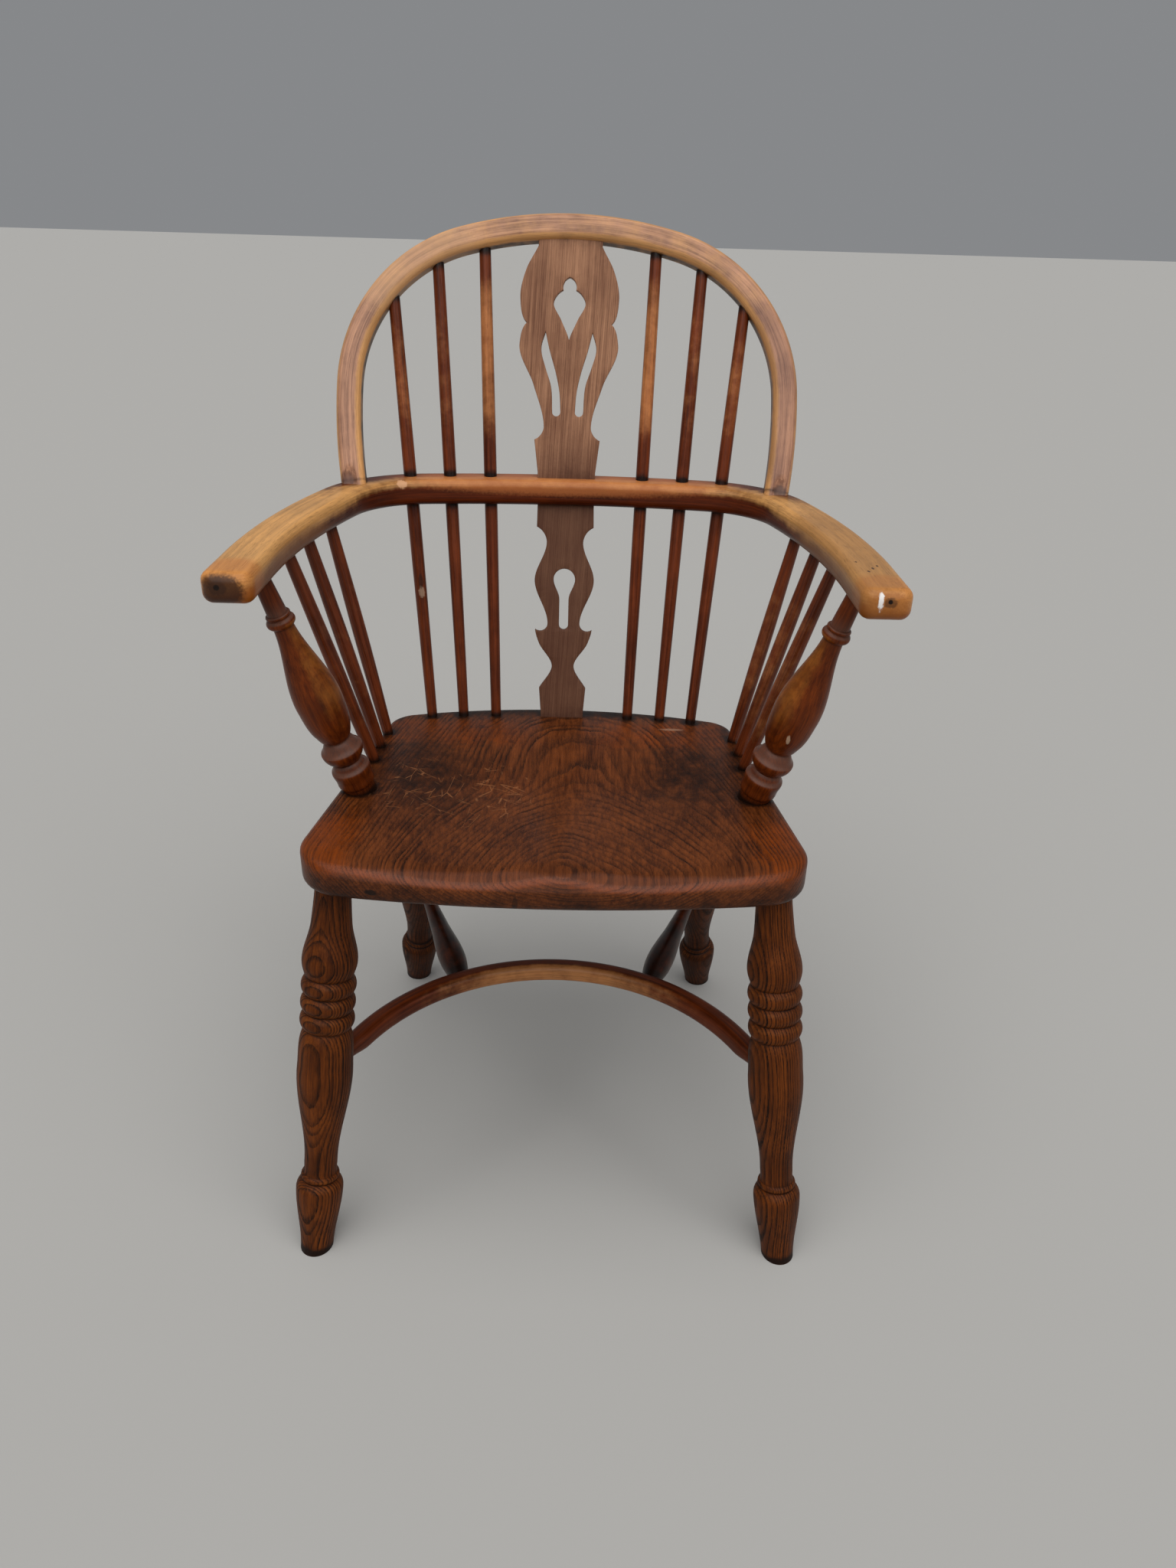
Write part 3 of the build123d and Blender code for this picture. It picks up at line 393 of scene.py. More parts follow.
# %% Marks on the chair
SPECK = (44, 24, 12)
MARKS = {
    "arm_bow_ash": [
        # The top of the back rail: wear and a painted sheen.
        ((0, 165, 644), (180, 60, 18), 0.3, 0.62, (186, 110, 60)),
        ((-232, -66, 618), (50, 130, 20.5), 0.2, 0.68, (126, 76, 28)),
        ((232, -66, 618), (50, 125, 17), 0.2, 0.45, (140, 90, 40)),
        ((-246.9, -158, 632), (30, 34, 26), 0.3, 0.4, (186, 100, 30)),
        ((246.9, -158, 632), (30, 34, 26), 0.3, 0.4, (186, 100, 30)),
        ((235, -60, 634), (40, 150, 30), 0.5, 0.42, (122, 80, 42)),
        ((-251, -173, 627), (22, 13, 18), 0.4, 0.92, (54, 29, 18)),
        ((246.9, -172, 627.5), (22, 10, 15), 0.4, 0.5, (146, 84, 34)),
        ((-252.5, -171, 630.5), (8.5, 5, 7.5), 0.8, 0.55, (40, 25, 20)),
        ((-252.5, -171, 630.5), (2.6, 5, 2.4), 0.4, 0.9, (18, 12, 10)),
        ((247.5, -171, 632), (5.5, 5, 4.6), 0.8, 0.6, (44, 26, 18)),
        ((247.5, -171, 632.5), (2, 5, 2), 0.4, 0.95, (12, 9, 8)),
        ((240.5, -169, 632.5), (2.2, 8, 7.5), 1.3, 0.95, (232, 228, 224)),
        ((246, -113, 641), (1.1, 3.2, 3), 0.8, 0.85, SPECK),
        ((251, -106, 641), (1, 2.6, 3), 0.8, 0.85, SPECK),
        ((241, -121, 641), (1.3, 2.4, 3), 0.8, 0.8, SPECK),
        ((236.5, -96, 641), (1, 2.2, 3), 0.8, 0.8, SPECK),
        ((-163, 145.5, 638), (5.5, 5, 5), 1.2, 0.85, (206, 156, 116)),
    ],
    "seat_elm": [
        # A painted sheen along the seat's front rim.
        ((0, -204, 399), (290, 16, 7), 0.3, 0.10, (160, 112, 98)),
        ((116, 92, 400), (13, 3, 8), 1.0, 0.4, (176, 140, 112)),
        ((-50, 58, 394), (4, 5, 9), 1.0, 0.6, (28, 14, 8)),
        ((-82, 88, 398), (7, 4, 9), 1.2, 0.45, (30, 15, 8)),
        ((-150, -202, 384), (6, 9, 3), 0.7, 0.85, (14, 9, 6)),
        ((-31, -209, 381), (2.6, 9, 8), 0.9, 0.6, (20, 12, 8)),
    ],
    "post_ash": [((200.5, -94, 481), (1.8, 7, 5), 0.9, 0.6, (196, 168, 140))],
    "hoop_ash": [
        ((208, 170, 735), (40, 80, 110), 0.4, 0.3, (108, 68, 58)),
        # The hoop's upper left: wear and a painted sheen.
        ((-150, 215, 830), (75, 45, 60), 0.4, 0.35, (224, 174, 128)),
        ((-213, 127.6, 646), (9, 7, 9.5), 0.4, 0.6, (84, 50, 38)),
        ((210, 127.2, 645), (7, 7, 7), 0.4, 0.65, (78, 56, 50)),
    ],
    # Darkens the whole lower splat.
    "splat_wood": [((0, 150, 506), (90, 90, 186), 0.1, 0.74, (66, 36, 25))],
    "spindle_ash": [
        ((-147, 140, 529), (3.4, 4, 7), 1.0, 0.6, (168, 140, 116)),
        ((-147.5, 141, 541), (3, 4, 9), 1.0, 0.6, (40, 24, 18)),
    ],
}
SCRATCHED = {"seat_elm": ((-96, -46, 396), (84, 66, 40))}
print("marks:", {slot: len(rows) for slot, rows in MARKS.items()})

# %% [markdown]
# The finishes differ in colour, in how bold the rings are and in gloss: the legs are coarse ash, the seat is elm,
# the bows are handled and shiny, the splats are matt. Each row has four colours, for light and dark fibres, ring
# lines and worn places. Then come ring width and waver in millimetres, how bold rings and pores are, roughness,
# bump, shine, and how much the rings fade in places.

# %% The eight finishes
WOODS = {
    "seat_elm": (
        (116, 60, 25), (48, 19, 6), (20, 9, 4), (132, 58, 8), 3.0, 7.0, 1.1, 0.4, 0.28, 0.5, 0.16, 0.7
    ),
    "leg_ash": (
        (113, 56, 14), (50, 20, 5), (12, 6, 3), (134, 78, 32), 2.5, 5.0, 1.35, 0.35, 0.40, 0.7, 0.10, 0.35
    ),
    "post_ash": (
        (118, 52, 11), (56, 17, 4), (28, 10, 4), (160, 94, 34), 2.4, 5.0, 0.4, 0.3, 0.26, 0.3, 0.15, 0.35
    ),
    "stretcher_ash": (
        (108, 46, 14), (46, 14, 4), (24, 9, 4), (192, 128, 76), 2.6, 4.0, 0.35, 0.3, 0.27, 0.3, 0.18, 0.35
    ),
    "arm_bow_ash": (
        (106, 42, 10), (50, 14, 3), (30, 10, 3), (226, 166, 98), 2.8, 5.0, 0.28, 0.4, 0.25, 0.25, 0.17, 0.35
    ),
    "hoop_ash": (
        (218, 162, 126), (80, 46, 37), (60, 33, 26), (228, 168, 106), 2.4, 4.0, 0.25, 0.3, 0.32, 0.25, 0.3, 0.35
    ),
    "splat_wood": (
        (182, 134, 102), (112, 72, 52), (72, 43, 30), (168, 124, 96), 2.0, 4.0, 0.6, 0.2, 0.48, 0.3, 0.15, 0.35
    ),
    "spindle_ash": (
        (128, 58, 24), (56, 19, 7), (30, 12, 6), (206, 132, 78), 2.2, 3.0, 0.3, 0.35, 0.22, 0.25, 0.22, 0.35
    ),
}
FINISHES = {
    slot: wood_finish(slot + "_finish", *row, MARKS.get(slot, ()), SCRATCHED.get(slot))
    for slot, row in WOODS.items()
}
print("finishes:", sorted(FINISHES))

# %% [markdown]
# Every piece ends in the same way. Its mesh is closed, its normals point out, edges that are really sharp are kept
# sharp, and it is scaled from millimetres to metres. Then it gets the finish of its slot and is tied to the chair's
# one body, and the CAD node that it stands for is hidden. The other helpers here serve all the pieces.

# %% Finishing a piece
CREASE = radians(40)


def mark_wood(bm, look):
    """Write on every vertex where it lay in the log, its grime and painted shade, and its wear and painted sheen."""
    grain = bm.verts.layers.float_vector.new("grain")
    grime_and_shade = bm.verts.layers.float.new("grime_and_shade")
    wear_and_sheen = bm.verts.layers.float.new("wear_and_sheen")
    for vert in bm.verts:
        vert[grain], vert[grime_and_shade], vert[wear_and_sheen] = look(vert.co)


def set_piece(bm, name, node, slot):
    """Turn a finished bmesh into an object of the chair."""
    bmesh.ops.recalc_face_normals(bm, faces=bm.faces)
    for face in bm.faces:
        face.smooth = True
    for edge in bm.edges:
        edge.smooth = len(edge.link_faces) != 2 or edge.calc_face_angle() < CREASE
    bmesh.ops.scale(bm, vec=(MM, MM, MM), verts=bm.verts)
    mesh = bpy.data.meshes.new(name)
    bm.to_mesh(mesh)
    bm.free()
    mesh.materials.append(FINISHES[slot])
    piece = placed(name, mesh)
    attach(piece, "root")
    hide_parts(node)
    print(name, "stands for", node, "with", len(mesh.polygons), "faces")


def ramp(value):
    """A smooth step from 0 to 1."""
    held = min(max(value, 0.0), 1.0)
    return held * held * (3 - 2 * held)


def only(geom, kind):
    """The parts of one kind out of mixed geometry."""
    return [part for part in geom if isinstance(part, kind)]


def everything(bm):
    """All points, edges and faces of a mesh."""
    return bm.verts[:] + bm.edges[:] + bm.faces[:]


def round_off(bm, geom, offset, segments, affect="EDGES"):
    """Round edges or corners of a mesh."""
    bmesh.ops.bevel(bm, geom=geom, offset=offset, affect=affect, segments=segments, profile=0.5, material=-1)


def stand(bm, place, *axes):
    """Carry a mesh to a place, with its x, y and z along the given axes."""
    bm.transform(Matrix.Translation(place) @ Matrix(axes).transposed().to_4x4())


print("edges over", round(degrees(CREASE)), "degrees stay sharp")

# %% [markdown]
# Turned work starts as half an outline: a height and a radius for each point. Long curves are drawn through a few
# points with Bezier pieces, and beads and rings are arcs.

# %% Outlines
def smooth_run(points, first=None, last=None, gap=2.5):
    """Points along a smooth curve through the given ones, with end directions if they are given."""
    knots = [Vector((*point, 0.0)) for point in points]
    spans = [(b - a).length for a, b in zip(knots, knots[1:])]
    slopes = []
    for index, knot in enumerate(knots):
        if index == 0:
            slopes.append(Vector((*first, 0.0)).normalized() if first else (knots[1] - knot) / spans[0])
        elif index == len(knots) - 1:
            slopes.append(Vector((*last, 0.0)).normalized() if last else (knot - knots[-2]) / spans[-1])
        else:
            before, after = spans[index - 1], spans[index]
            ahead = (knots[index + 1] - knot) / after
            behind = (knot - knots[index - 1]) / before
            slopes.append((ahead * before + behind * after) / (before + after))
    run = [points[0]]
    for index, span in enumerate(spans):
        a, b = knots[index], knots[index + 1]
        steps = max(4, round(span / gap))
        handles = a + slopes[index] * span / 3, b - slopes[index + 1] * span / 3
        run += [(p.x, p.y) for p in interpolate_bezier(a, *handles, b, steps + 1)[1:]]
    return run


def arc_run(first, middle, last, steps=8):
    """Points along the circle through three points."""
    (ax, ay), (bx, by), (cx, cy) = first, middle, last
    d = 2 * (ax * (by - cy) + bx * (cy - ay) + cx * (ay - by))
    a2, b2, c2 = ax * ax + ay * ay, bx * bx + by * by, cx * cx + cy * cy
    ox = (a2 * (by - cy) + b2 * (cy - ay) + c2 * (ay - by)) / d
    oy = (a2 * (cx - bx) + b2 * (ax - cx) + c2 * (bx - ax)) / d
    reach = sqrt((ax - ox) ** 2 + (ay - oy) ** 2)
    start, through, end = (atan2(y - oy, x - ox) for x, y in (first, middle, last))
    sweep = (end - start) % (2 * pi)
    if (through - start) % (2 * pi) > sweep:
        sweep -= 2 * pi
    angles = [start + sweep * step / steps for step in range(steps + 1)]
    return [(ox + reach * cos(angle), oy + reach * sin(angle)) for angle in angles]


print("an arc of three points gives", len(arc_run((0, 0), (1, 1), (2, 0))), "points")

# %% [markdown]
# Spinning the outline once round its axis makes the piece, as a lathe does. The hollows of an outline collect
# grime and its crests get rubbed, and both can be read from the outline itself: a point that is thinner than its
# neighbours lies in a hollow. A painted grey sheen, a reflection of the sky, lies where the outline slopes in
# upwards.

# %% The lathe
FULL_HOLLOW = 1.8
JOINT_GRIME = 0.85
LEAST_SHEEN = 0.1
RUB_STARTS, RUB_ENDS = 55.0, 40.0


def hollows(outline, reach=3.5):
    """For each height of an outline, how far it lies below (or above, if negative) its neighbours."""
    found = {}
    for height, radius in outline:
        near = [r for h, r in outline if abs(h - height) < reach and r > 0]
        if near:
            found[round(height, 2)] = sum(near) / len(near) - radius
    return found


def falls(outline, reach=1.6):
    """For each height of an outline, from 0 to 1, how much it slopes in upwards."""
    found = {}
    for height, _ in outline:
        near = [(h, r) for h, r in outline if abs(h - height) < reach]
        (low, low_radius), (high, high_radius) = near[0], near[-1]
        if high > low:
            found[round(height, 2)] = ramp(((low_radius - high_radius) / (high - low) - 0.2) / 0.35)
    return found


def turn(
    outline, start, end, log, joints=(), steps=44, rub=None, all_over_grime_and_shade=0.0, crest=0.45, dirt=0.75, sheen=0.0
):
    """Spin an outline, mark its wood, and stand it on the line from start to end."""
    bm = bmesh.new()
    points = [(outline[0][0], 0.0), *outline, (outline[-1][0], 0.0)]
    verts = [bm.verts.new((radius, 0.0, height)) for height, radius in points]
    edges = [bm.edges.new(pair) for pair in zip(verts, verts[1:])]
    bmesh.ops.spin(
        bm, geom=verts + edges, axis=(0, 0, 1), cent=(0, 0, 0), angle=2 * pi, steps=steps, use_merge=True
    )
    bmesh.ops.remove_doubles(bm, verts=bm.verts, dist=0.001)
    depth = hollows(outline)
    fall = falls(outline)
    pith_x, pith_y, log_z = log

    def look(co):
        hollow = depth.get(round(co.z, 2), 0.0)
        joint = max((exp(-(((co.z - at) / reach) ** 2)) for at, reach in joints), default=0.0)
        grain = (co.x - pith_x, co.y - pith_y, co.z + log_z)
        rubbed = crest * max(0.0, -hollow)
        if rub:
            low, high, share, toward = rub
            facing = ramp(co.xy.dot(toward) / 5.0 + 0.4)
            rubbed += share * facing * ramp((co.z - low) / RUB_STARTS) * ramp((high - co.z) / RUB_ENDS)
        # A painted grey sheen of reflected sky where the outline slopes in upwards, carried as negative wear.
        sheen_here = sheen * fall.get(round(co.z, 2), 0.0)
        # Grime in hollows and at joints, plus an even darkening: painted shade on the rear legs, grime on the spurs.
        grime_and_shade = dirt * min(1.0, max(0.0, hollow / FULL_HOLLOW)) + JOINT_GRIME * joint + all_over_grime_and_shade
        return grain, min(1.0, grime_and_shade), -sheen_here if sheen_here > LEAST_SHEEN else min(1.0, rubbed)

    mark_wood(bm, look)
    along = (end - start).normalized()
    front = Vector((0, -1, 0))
    front = (front - along * front.dot(along)).normalized()
    stand(bm, start, front, along.cross(front), along)
    return bm


def beyond(start, end, distance):
    """The point that far past end, on the line from start."""
    return end + (end - start).normalized() * distance


print("a hollow is full of grime when it is", FULL_HOLLOW, "mm deep")

# %% [markdown]
# The legs are the boldest turnings: a bulb foot with a collar, a long baluster, three rings and a plain taper up to
# the seat. They splay, so the lathe's axis runs from the foot on the floor to the head under the seat, and the
# foot is cut level with the floor afterwards. Each leg comes from another place in the log, which is why
# the front left one shows ellipses on its face and the right one mostly straight lines.

# %% Legs
LEG_TENON = 26.0
LEG_STEPS = 56
# Painted shade: the rear legs, under the seat, are darkened all over.
REAR_SHADE = 0.42
FEET = {"front": ((221.4, -232.0), (191.0, -152.0)), "rear": ((181.0, 189.0), (144.0, 68.0))}
LEG_LOGS = {
    "front_left_leg": (-62.0, 26.0, 300.0),
    "front_right_leg": (-18.0, 74.0, 1900.0),
    "rear_left_leg": (50.0, -48.0, 3700.0),
    "rear_right_leg": (-56.0, -40.0, 5200.0),
}
RING_PITCH = 17.1
RINGS_FROM = 233.2
GROOVE = 20.5


def leg_outline(length):
    """Heights and radii of a leg, from below the floor to the end of its tenon."""
    outline = smooth_run([(-8.0, 15.2), (0.0, 15.2), (66.0, 21.8)], (1, 0), (1, 0))
    outline += smooth_run([(66.0, 21.8), (76.0, 15.9)], (1, 0), (0.4, -1), 1.2)[1:]
    outline += arc_run((76.0, 15.9), (79.3, 17.7), (82.6, 15.6))[1:]
    baluster = [(82.6, 15.6), (94.0, 15.2), (196.0, 25.0), (RINGS_FROM, GROOVE)]
    outline += smooth_run(baluster, (1, -0.3), (1, -0.5))[1:]
    for ring in range(3):
        low = RINGS_FROM + ring * RING_PITCH
        high = low + RING_PITCH
        outline += arc_run((low, GROOVE), (low + RING_PITCH / 2, 24.5), (high, GROOVE), 10)[1:]
    taper = [(high, GROOVE), (high + 7.0, 23.3), (334.0, 18.0), (length - LEG_TENON + 4.0, 15.4)]
    outline += smooth_run(taper, (1, 0.9), (1, 0))[1:]
    return outline + [(length - LEG_TENON + 5.0, 14.0), (length, 14.0)]


for leg, log in LEG_LOGS.items():
    row, side, _ = leg.split("_")
    (foot_x, foot_y), (head_x, head_y) = FEET[row]
    hand = SIDES[side]
    foot = Vector((hand * foot_x, foot_y, 0.0))
    head = Vector((hand * head_x, head_y, seat_top(head_y) - SEAT_THICKNESS))
    top = beyond(foot, head, LEG_TENON)
    length = (top - foot).length
    joints = [(length - LEG_TENON, 5.0), (0.0, 6.0)]
    all_over_grime_and_shade = REAR_SHADE if row == "rear" else 0.0
    leg_bm = turn(leg_outline(length), foot, top, log, joints, LEG_STEPS, all_over_grime_and_shade=all_over_grime_and_shade)
    cut = bmesh.ops.bisect_plane(
        leg_bm, geom=everything(leg_bm), plane_co=(0, 0, 0), plane_no=(0, 0, 1), clear_inner=True
    )
    bmesh.ops.contextual_create(leg_bm, geom=only(cut["geom_cut"], BMEdge))
    set_piece(leg_bm, leg + "_turned", leg, "leg_ash")

# %% [markdown]
# Arm posts and spindles are turned in the same way. A post has two rings like cups, whose upper faces slope in and
# carry a painted grey sheen of reflected sky, a fat vase and a bead below the arm.

# %% Arm posts
SEAT_SOCKET = 20.0
ARM_SOCKET = 15.0
POST_SEAT_X, POST_SEAT_Y = 182.6, SEAT_BACK_Y - 203.0
POST_ARM_X, POST_ARM_Y = 239.5, SEAT_BACK_Y - 245.0


def seat_point(x, y):
    """A point on the seat before it was hollowed."""
    return Vector((x, y, seat_top(y)))


def in_sockets(on_seat, on_arm):
    """Both ends of a stick between seat and arm, at the bottoms of its sockets."""
    return beyond(on_arm, on_seat, SEAT_SOCKET), beyond(on_seat, on_arm, ARM_SOCKET)


def cup(low, high, under, peak, over, rim_at):
    """A ring like a cup: a round underside, a crisp rim and an upper face that slopes in to the neck."""
    tall = high - low
    rim = low + rim_at * tall
    lip = rim + 0.1 * tall
    swell = [(low, under), (low + 0.6 * (rim - low), peak - 0.8), (rim, peak)]
    slope = [(lip, peak - 1.3), (high - 0.9, over + 0.9), (high, over)]
    side = smooth_run(swell, (0.35, 1), (1, 0), 1.2)
    edge = smooth_run([(rim, peak), (lip, peak - 1.3)], (1, 0), (0.5, -1), 0.7)
    return side + edge[1:] + smooth_run(slope, (0.8, -1), (0.3, -1), 1.2)[1:]


def post_outline(length):
    """Heights and radii of an arm post, measured from the bottom of its socket."""
    base = SEAT_SOCKET
    outline = [(0.0, 14.6), (base, 14.6), (base + 6.0, 14.9)]
    outline += cup(base + 8.0, base + 35.4, 15.1, 17.9, 11.8, 0.62)
    outline += cup(base + 36.2, base + 59.0, 12.6, 19.2, 11.6, 0.50)
    vase = [(base + 59.6, 11.4), (base + 70.0, 16.9), (base + 98.0, 20.8), (base + 179.0, 8.8)]
    outline += smooth_run(vase, (0.7, 1.0), (1, -0.03))
    outline += arc_run((base + 179.0, 8.8), (base + 183.0, 12.4), (base + 186.8, 10.4))[1:]
    outline += [(base + 187.4, 9.4)]
    outline += arc_run((base + 188.0, 9.4), (base + 189.4, 10.6), (base + 190.8, 8.6), 5)
    return outline + [(length - ARM_SOCKET - 6.0, 7.6), (length, 7.0)]


for name, hand in SIDES.items():
    on_arm = Vector((hand * POST_ARM_X, POST_ARM_Y, BOW_BOTTOM))
    start, end = in_sockets(seat_point(hand * POST_SEAT_X, POST_SEAT_Y), on_arm)
    length = (end - start).length
    joints = [(SEAT_SOCKET, 4.0), (length - ARM_SOCKET, 4.0)]
    log = (-30.0, hand * 44.0, 800.0 + 900.0 * hand)
    rub = (SEAT_SOCKET + 60.0, length - 30.0, 0.5, Vector((-0.1, -0.4 * hand)))
    # The cups' upper faces get a painted grey sheen.
    bm = turn(post_outline(length), start, end, log, joints, rub=rub, crest=0.15, dirt=0.45, sheen=0.5)
    set_piece(bm, name + "_arm_post_turned", name + "_arm_post", "post_ash")

# %% [markdown]
# The back hoop is drawn as three arcs a side in a leaning plane. The long spindles end on its centre line, so the
# hoop's shape is worked out here first: a function walks along the arcs and says where it is and which way it heads.

# %% Walking along a bow
def walk(runs, distance):
    """Place and heading after a distance along runs of (length, radius), from the middle of a bow outwards."""
    x = y = heading = 0.0
    for index, (length, radius) in enumerate(runs):
        step = distance if index == len(runs) - 1 else min(distance, length)
        if radius:
            x += radius * (sin(heading + step / radius) - sin(heading))
            y += radius * (cos(heading + step / radius) - cos(heading))
            heading += step / radius
        else:
            x += step * cos(heading)
            y -= step * sin(heading)
        distance -= step
        if distance <= 0:
            break
    return x, y, heading


def arcs(*pairs):
    """Runs of a bow from pairs of a radius and a turn in degrees."""
    return [(radius * radians(angle), radius) for radius, angle in pairs]


HOOP_LEAN = radians(23.5)
HOOP_FOOT_Y = SEAT_BACK_Y - 7.0
HOOP_RISE = 246.0
HOOP_RUNS = arcs((378.0, 16.0), (149.5, 71.5), (508.0, 13.0))


def hoop_point(across, up, forward=0.0):
    """A point of the hoop's leaning plane, or a little in front of it."""
    return Vector((
        across,
        HOOP_FOOT_Y + up * sin(HOOP_LEAN) - forward * cos(HOOP_LEAN),
        BOW_TOP + up * cos(HOOP_LEAN) + forward * sin(HOOP_LEAN),
    ))


def hoop_height(across):
    """How far up its plane the hoop's centre line is at a distance from the middle."""
    low, high = 0.0, HOOP_RUNS[0][0] + HOOP_RUNS[1][0]
    for _ in range(40):
        middle = (low + high) / 2
        low, high = (middle, high) if walk(HOOP_RUNS, middle)[0] < across else (low, middle)
    return HOOP_RISE + walk(HOOP_RUNS, low)[1]


print("hoop centre line over the inner spindles:", round(hoop_height(83.5), 1))

# %% [markdown]
# Spindles are only swollen sticks, all thickest about halfway up. Three short ones stand under each arm and three
# long ones each side of the splat, and grime gathers wherever a stick goes into another piece.

# %% Spindles
LONG = {
    "outer": (138.0, -30.0, 172.0, 0.34),
    "middle": (105.0, -25.0, 129.0, 0.26),
    "inner": (70.5, -22.5, 83.5, 0.6),
}
SHORT = {
    "front": (180.5, -142.0, 237.0, -169.0),
    "middle": (180.0, -110.0, 230.5, -122.0),
    "rear": (178.0, -77.0, 220.5, -72.0),
}
LONG_SWELL = (5.2, 0.53, 6.5, 5.6)
SHORT_SWELL = (5.2, 0.5, 6.8, 5.2)
SPINDLE_STEPS = 24


def set_spindle(spindle, swell, start, end, log, joints, rub):
    """Turn a swollen stick: its radius at the foot, where it is thickest, how thick, and its radius at the head."""
    low, thickest, thick, high = swell
    length = (end - start).length
    stick = smooth_run([(0.0, low), (thickest * length, thick), (length, high)], gap=4.0)
    bm = turn(stick, start, end, log, joints, SPINDLE_STEPS, rub)
    set_piece(bm, spindle + "_turned", spindle, "spindle_ash")


for name, hand in SIDES.items():
    for number, (place, (seat_x, back, hoop_x, rubbed)) in enumerate(LONG.items()):
        end = hoop_point(hand * hoop_x, hoop_height(hoop_x))
        start = beyond(end, seat_point(hand * seat_x, SEAT_BACK_Y + back), SEAT_SOCKET)
        length = (end - start).length
        rise = (end - start).normalized().z
        under_bow, above_bow = ((height - start.z) / rise for height in (BOW_BOTTOM, BOW_TOP))
        joints = [(SEAT_SOCKET, 5.0), (length - 12.0, 6.0), (under_bow, 6.0), (above_bow, 6.0)]
        log = (hand * (20.0 + 9.0 * number), 26.0 - 12.0 * number, 700.0 * number + 350.0 * hand)
        rub = (above_bow + 15.0, length - 20.0, rubbed, Vector((1.0, 0.0)))
        set_spindle(f"{name}_{place}_long_spindle", LONG_SWELL, start, end, log, joints, rub)
    for number, (place, (seat_x, seat_back, arm_x, arm_back)) in enumerate(SHORT.items()):
        on_arm = Vector((hand * arm_x, SEAT_BACK_Y + arm_back, BOW_BOTTOM))
        start, end = in_sockets(seat_point(hand * seat_x, SEAT_BACK_Y + seat_back), on_arm)
        length = (end - start).length
        joints = [(SEAT_SOCKET, 5.0), (length - ARM_SOCKET, 5.0)]
        log = (hand * (24.0 - 8.0 * number), 18.0 + 11.0 * number, 4000.0 + 600.0 * number + 300.0 * hand)
        rub = (SEAT_SOCKET + 5.0, length - 40.0, 0.23 + 0.07 * hand, Vector((0.5, -0.8 * hand)))
        set_spindle(f"{name}_{place}_short_spindle", SHORT_SWELL, start, end, log, joints, rub)

# %% [markdown]
# A bow starts as a straight planed bar with rounded edges. It is made by extruding a rounded section station by
# station, which also gives the place to narrow it into a hand. The wood is marked while the bar is straight, and
# only then is every point carried to its place along the bent line. So the grain follows the bend, as it does in
# steamed ash.

# %% Bars and bending
def section(half_wide, half_thick, corner, cuts=3):
    """A bmesh with one rounded rectangle, and that face."""
    bm = bmesh.new()
    bmesh.ops.create_grid(bm, x_segments=1, y_segments=1, size=1.0)
    bmesh.ops.scale(bm, vec=(half_wide, half_thick, 1.0), verts=bm.verts)
    round_off(bm, bm.verts[:], corner, 6, "VERTICES")
    long_edges = [edge for edge in bm.edges if edge.calc_length() > corner / 3]
    bmesh.ops.subdivide_edges(bm, edges=long_edges, cuts=cuts)
    return bm, bm.faces[:][0]


def straight_bar(half_wide, half_thick, corner, stations):
    """A bar along z: each station is a height and the two shares of its full section."""
    bm, face = section(half_wide, half_thick, corner)
    shares = Vector((1.0, 1.0))
    height = 0.0
    for number, (to_height, wide, thick) in enumerate(stations):
        if number:
            grown = bmesh.ops.extrude_face_region(bm, geom=[face])["geom"]
            if number > 1:
                bmesh.ops.delete(bm, geom=[face], context="FACES_ONLY")
            face = only(grown, BMFace)[0]
        bmesh.ops.scale(bm, vec=(wide / shares.x, thick / shares.y, 1.0), verts=face.verts[:])
        bmesh.ops.translate(bm, vec=(0.0, 0.0, to_height - height), verts=face.verts[:])
        shares = Vector((wide, thick))
        height = to_height
    return bm


def bend(bm, runs, place):
    """Carry a straight bar onto a bow: x becomes outwards, y the thickness, z the way along."""
    for vert in bm.verts:
        out, thick, along = vert.co
        x, y, heading = walk(runs, abs(along))
        x, y = x + out * sin(heading), y + out * cos(heading)
        vert.co = place(x if along >= 0 else -x, y, thick)


def even_stations(half_length, gap):
    """Stations of full section from one end of a bow to the other."""
    count = max(2, round(2 * half_length / gap))
    return [(-half_length + 2 * half_length * step / count, 1.0, 1.0) for step in range(count + 1)]


print("a section has", len(section(20.0, 12.5, 8.0)[0].verts), "points")

# %% [markdown]
# The arm bow is arms and back rail in one. Its hands end blunt: the section narrows over the last few millimetres
# in the way a rounded edge does. The arms are rubbed to a pale honey colour by generations of hands, while the
# back rail keeps its red polish, so wear grows with the distance from the middle. Light from above is painted in
# too: the arms are lighter on top and darker on their inner sides, the rail's top edge carries a painted sheen
# over its wear, and its underside painted shade.

# %% Arm bow
BOW_HALF_WIDE = 20.0
BOW_HALF_THICK = BOW_THICKNESS / 2
BOW_EDGE = 8.0
HAND_CORNER, HAND_EDGE = 12.0, 10.0
HAND_STEPS = [0.0, 0.3, 1.0, 2.0, 3.4, 5.2, 7.4, 9.6, 12.0]
ARM_STARTS, ARM_FADE = 190.0, 130.0
BOW_RUNS = arcs((950.0, 8.65), (90.0, 64.35), (720.0, 17.0)) + [(66.0, None)]
bow_half = sum(length for length, radius in BOW_RUNS)


def blunt(distance, corner, half):
    """The share of a half size that is left at a distance from a rounded end."""
    if distance >= corner:
        return 1.0
    return (half - corner + sqrt(max(0.0, corner**2 - (corner - distance) ** 2))) / half


